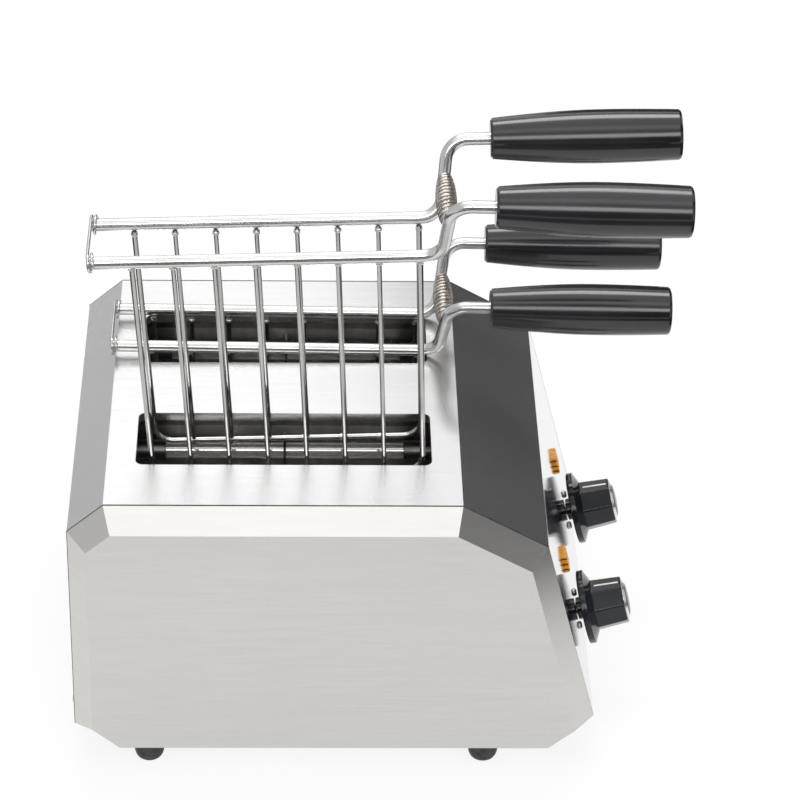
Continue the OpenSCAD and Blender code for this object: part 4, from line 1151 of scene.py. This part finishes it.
def floor_material():
    """White floor: mostly plain white to the eye, so that only a light shadow stays."""
    made, tree, shader = stage_material("floor_white", (0.9, 0.9, 0.9))
    path = tree.nodes.new("ShaderNodeLightPath")
    seen = tree.nodes.new("ShaderNodeMath")
    seen.operation = "ADD"
    through = tree.nodes.new("ShaderNodeMath")
    through.operation = "ADD"
    part = tree.nodes.new("ShaderNodeMath")
    part.operation = "MULTIPLY"
    part.inputs[1].default_value = FLOOR_WHITE
    white = tree.nodes.new("ShaderNodeEmission")
    white.inputs["Color"].default_value = (1, 1, 1, 1)
    white.inputs["Strength"].default_value = 1.0
    mix = tree.nodes.new("ShaderNodeMixShader")
    out = tree.nodes["Material Output"]
    tree.links.new(path.outputs["Is Camera Ray"], seen.inputs[0])
    tree.links.new(path.outputs["Is Glossy Ray"], seen.inputs[1])
    tree.links.new(seen.outputs[0], through.inputs[0])
    tree.links.new(path.outputs["Is Transmission Ray"], through.inputs[1])
    tree.links.new(through.outputs[0], part.inputs[0])
    tree.links.new(part.outputs[0], mix.inputs["Fac"])
    tree.links.new(shader.outputs["BSDF"], mix.inputs[1])
    tree.links.new(white.outputs["Emission"], mix.inputs[2])
    tree.links.new(mix.outputs["Shader"], out.inputs["Surface"])
    return made


def only_mirrored(obj):
    """A card shows in the steel's reflections, and casts no shadow on the floor."""
    obj.visible_camera = False
    obj.visible_diffuse = False
    obj.visible_shadow = False


def card(name, centre, width, height, made):
    """Upright card that faces the object; the camera does not see it."""
    middle = Vector(centre)
    out = middle - Z_AXIS * MIDDLE_HEIGHT_M
    across = Z_AXIS.cross(out).normalized() * (width / 2)
    up = out.cross(across).normalized() * (height / 2)
    corners = [middle - across - up, middle + across - up, middle + across + up, middle - across + up]
    obj = mesh_object(name, corners, [(0, 1, 2, 3)], smooth=False)
    obj.data.materials.append(made)
    only_mirrored(obj)


def toward(azimuth, elevation, distance):
    """Point in metres in a direction; azimuth 0 is +X and 90 is +Y."""
    flat = distance * math.cos(math.radians(elevation))
    return (flat * math.cos(math.radians(azimuth)), flat * math.sin(math.radians(azimuth)),
            MIDDLE_HEIGHT_M + distance * math.sin(math.radians(elevation)))


def floor_card(name, low_x, high_x, low_y, high_y, made):
    """Card that lies on the floor beside the object; the camera does not see it."""
    rise = 0.002
    obj = mesh_object(name, [(low_x, low_y, rise), (high_x, low_y, rise), (high_x, high_y, rise),
                             (low_x, high_y, rise)], [(0, 1, 2, 3)], smooth=False)
    obj.data.materials.append(made)
    only_mirrored(obj)


def area_light(name, location, target, width, height, watts):
    """Soft lamp that faces a target; the camera does not see it."""
    data = bpy.data.lights.new(name, "AREA")
    data.shape = "RECTANGLE"
    data.size = width
    data.size_y = height
    data.energy = watts
    obj = scene_object(name, data)
    obj.location = location
    aim = Vector(target) - Vector(location)
    obj.rotation_mode = "QUATERNION"
    obj.rotation_quaternion = aim.to_track_quat("-Z", "Y")
    obj.visible_camera = False


floor = mesh_object("floor", [(-FLOOR_HALF_M, -FLOOR_HALF_M, 0), (FLOOR_HALF_M, -FLOOR_HALF_M, 0),
                              (FLOOR_HALF_M, FLOOR_HALF_M, 0), (-FLOOR_HALF_M, FLOOR_HALF_M, 0)],
                    [(0, 1, 2, 3)], smooth=False)
floor.data.materials.append(floor_material())

dark_cloth = stage_material("dark_cloth", (0.05, 0.05, 0.052))[0]
slate_cloth = stage_material("slate_cloth", (0.065, 0.065, 0.067))[0]
grey_cloth = stage_material("grey_cloth", (0.55, 0.55, 0.56))[0]
card("slate_card_front_right", toward(-33, 19, 1.5), 1.5, 1.0, slate_cloth)
card("dark_card_front_high", toward(-112, 42, 1.5), 0.9, 0.6, dark_cloth)
card("dark_card_left", toward(180, 19, 2.6), 3.0, 1.8, dark_cloth)
card("dark_card_far", toward(0, 0, 3.2), 1.5, 0.45, dark_cloth)
card("grey_card_rear_right", toward(34, 12, 1.6), 1.3, 0.8, grey_cloth)
floor_card("dark_floor_front", -1.1, 1.1, -1.7, -0.44, dark_cloth)
floor_card("dark_floor_rear", -1.1, 1.1, 0.5, 1.7, dark_cloth)
floor_card("dark_floor_left", -2.2, -0.7, -1.1, 1.1, dark_cloth)

area_light("overhead_softbox", (0.1, 0.1, 2.3), (0.1, 0.05, 0), 2.6, 2.6, 10)
area_light("bevel_softbox", (-0.95, 0.05, 2.2), (-0.13, 0.05, 0.19), 1.6, 0.7, 2.1)
area_light("far_softbox", (2.2, 0.0, 1.5), (0, 0, 0.1), 2.0, 1.2, 5.5)
area_light("bright_softbox", (0.85, 0.0, 1.9), (0, 0, 0.2), 1.2, 0.6, 14)
area_light("front_softbox", (-1.4, 0.0, 1.2), (0, 0, 0.2), 1.5, 0.4, 9)

world = bpy.data.worlds.new("pale_room")
bpy.context.scene.world = world
world.use_nodes = True
room = world.node_tree
sky = room.nodes["Background"]
sky.inputs["Color"].default_value = (0.68, 0.68, 0.68, 1)
backdrop = room.nodes.new("ShaderNodeBackground")
backdrop.inputs["Color"].default_value = (1, 1, 1, 1)
ray = room.nodes.new("ShaderNodeLightPath")
seen = room.nodes.new("ShaderNodeMixShader")
room.links.new(ray.outputs["Is Camera Ray"], seen.inputs["Fac"])
room.links.new(sky.outputs["Background"], seen.inputs[1])
room.links.new(backdrop.outputs["Background"], seen.inputs[2])
room.links.new(seen.outputs["Shader"], room.nodes["World Output"].inputs["Surface"])


# Camera at the photo's angle

CAMERA_X = -1878.73
CAMERA_BEFORE_REAR = 152.5
CAMERA_Z = 1457.4
CAMERA_PITCH = 34.0
CAMERA_YAW = -1.881
CAMERA_ROLL = 1.276
LENS = 153

pitch = math.radians(CAMERA_PITCH)
yaw = math.radians(CAMERA_YAW)
roll = math.radians(CAMERA_ROLL)
ahead = Vector((math.cos(pitch) * math.cos(yaw), math.cos(pitch) * math.sin(yaw), -math.sin(pitch)))
level = Vector((math.sin(yaw), -math.cos(yaw), 0))
upright = level.cross(ahead)
right = level * math.cos(roll) + upright * math.sin(roll)
up = upright * math.cos(roll) - level * math.sin(roll)

camera_data = bpy.data.cameras.new("photo_camera")
camera_data.lens = LENS
camera_data.sensor_width = 36
camera_data.clip_end = 50
camera = scene_object("photo_camera", camera_data)
camera_at = Vector((CAMERA_X * MM, rear_wall_y - CAMERA_BEFORE_REAR * MM, CAMERA_Z * MM))
camera.matrix_world = Matrix.Translation(camera_at) @ Matrix((right, up, -ahead)).transposed().to_4x4()
bpy.context.scene.camera = camera
bpy.context.scene.view_settings.view_transform = "Standard"
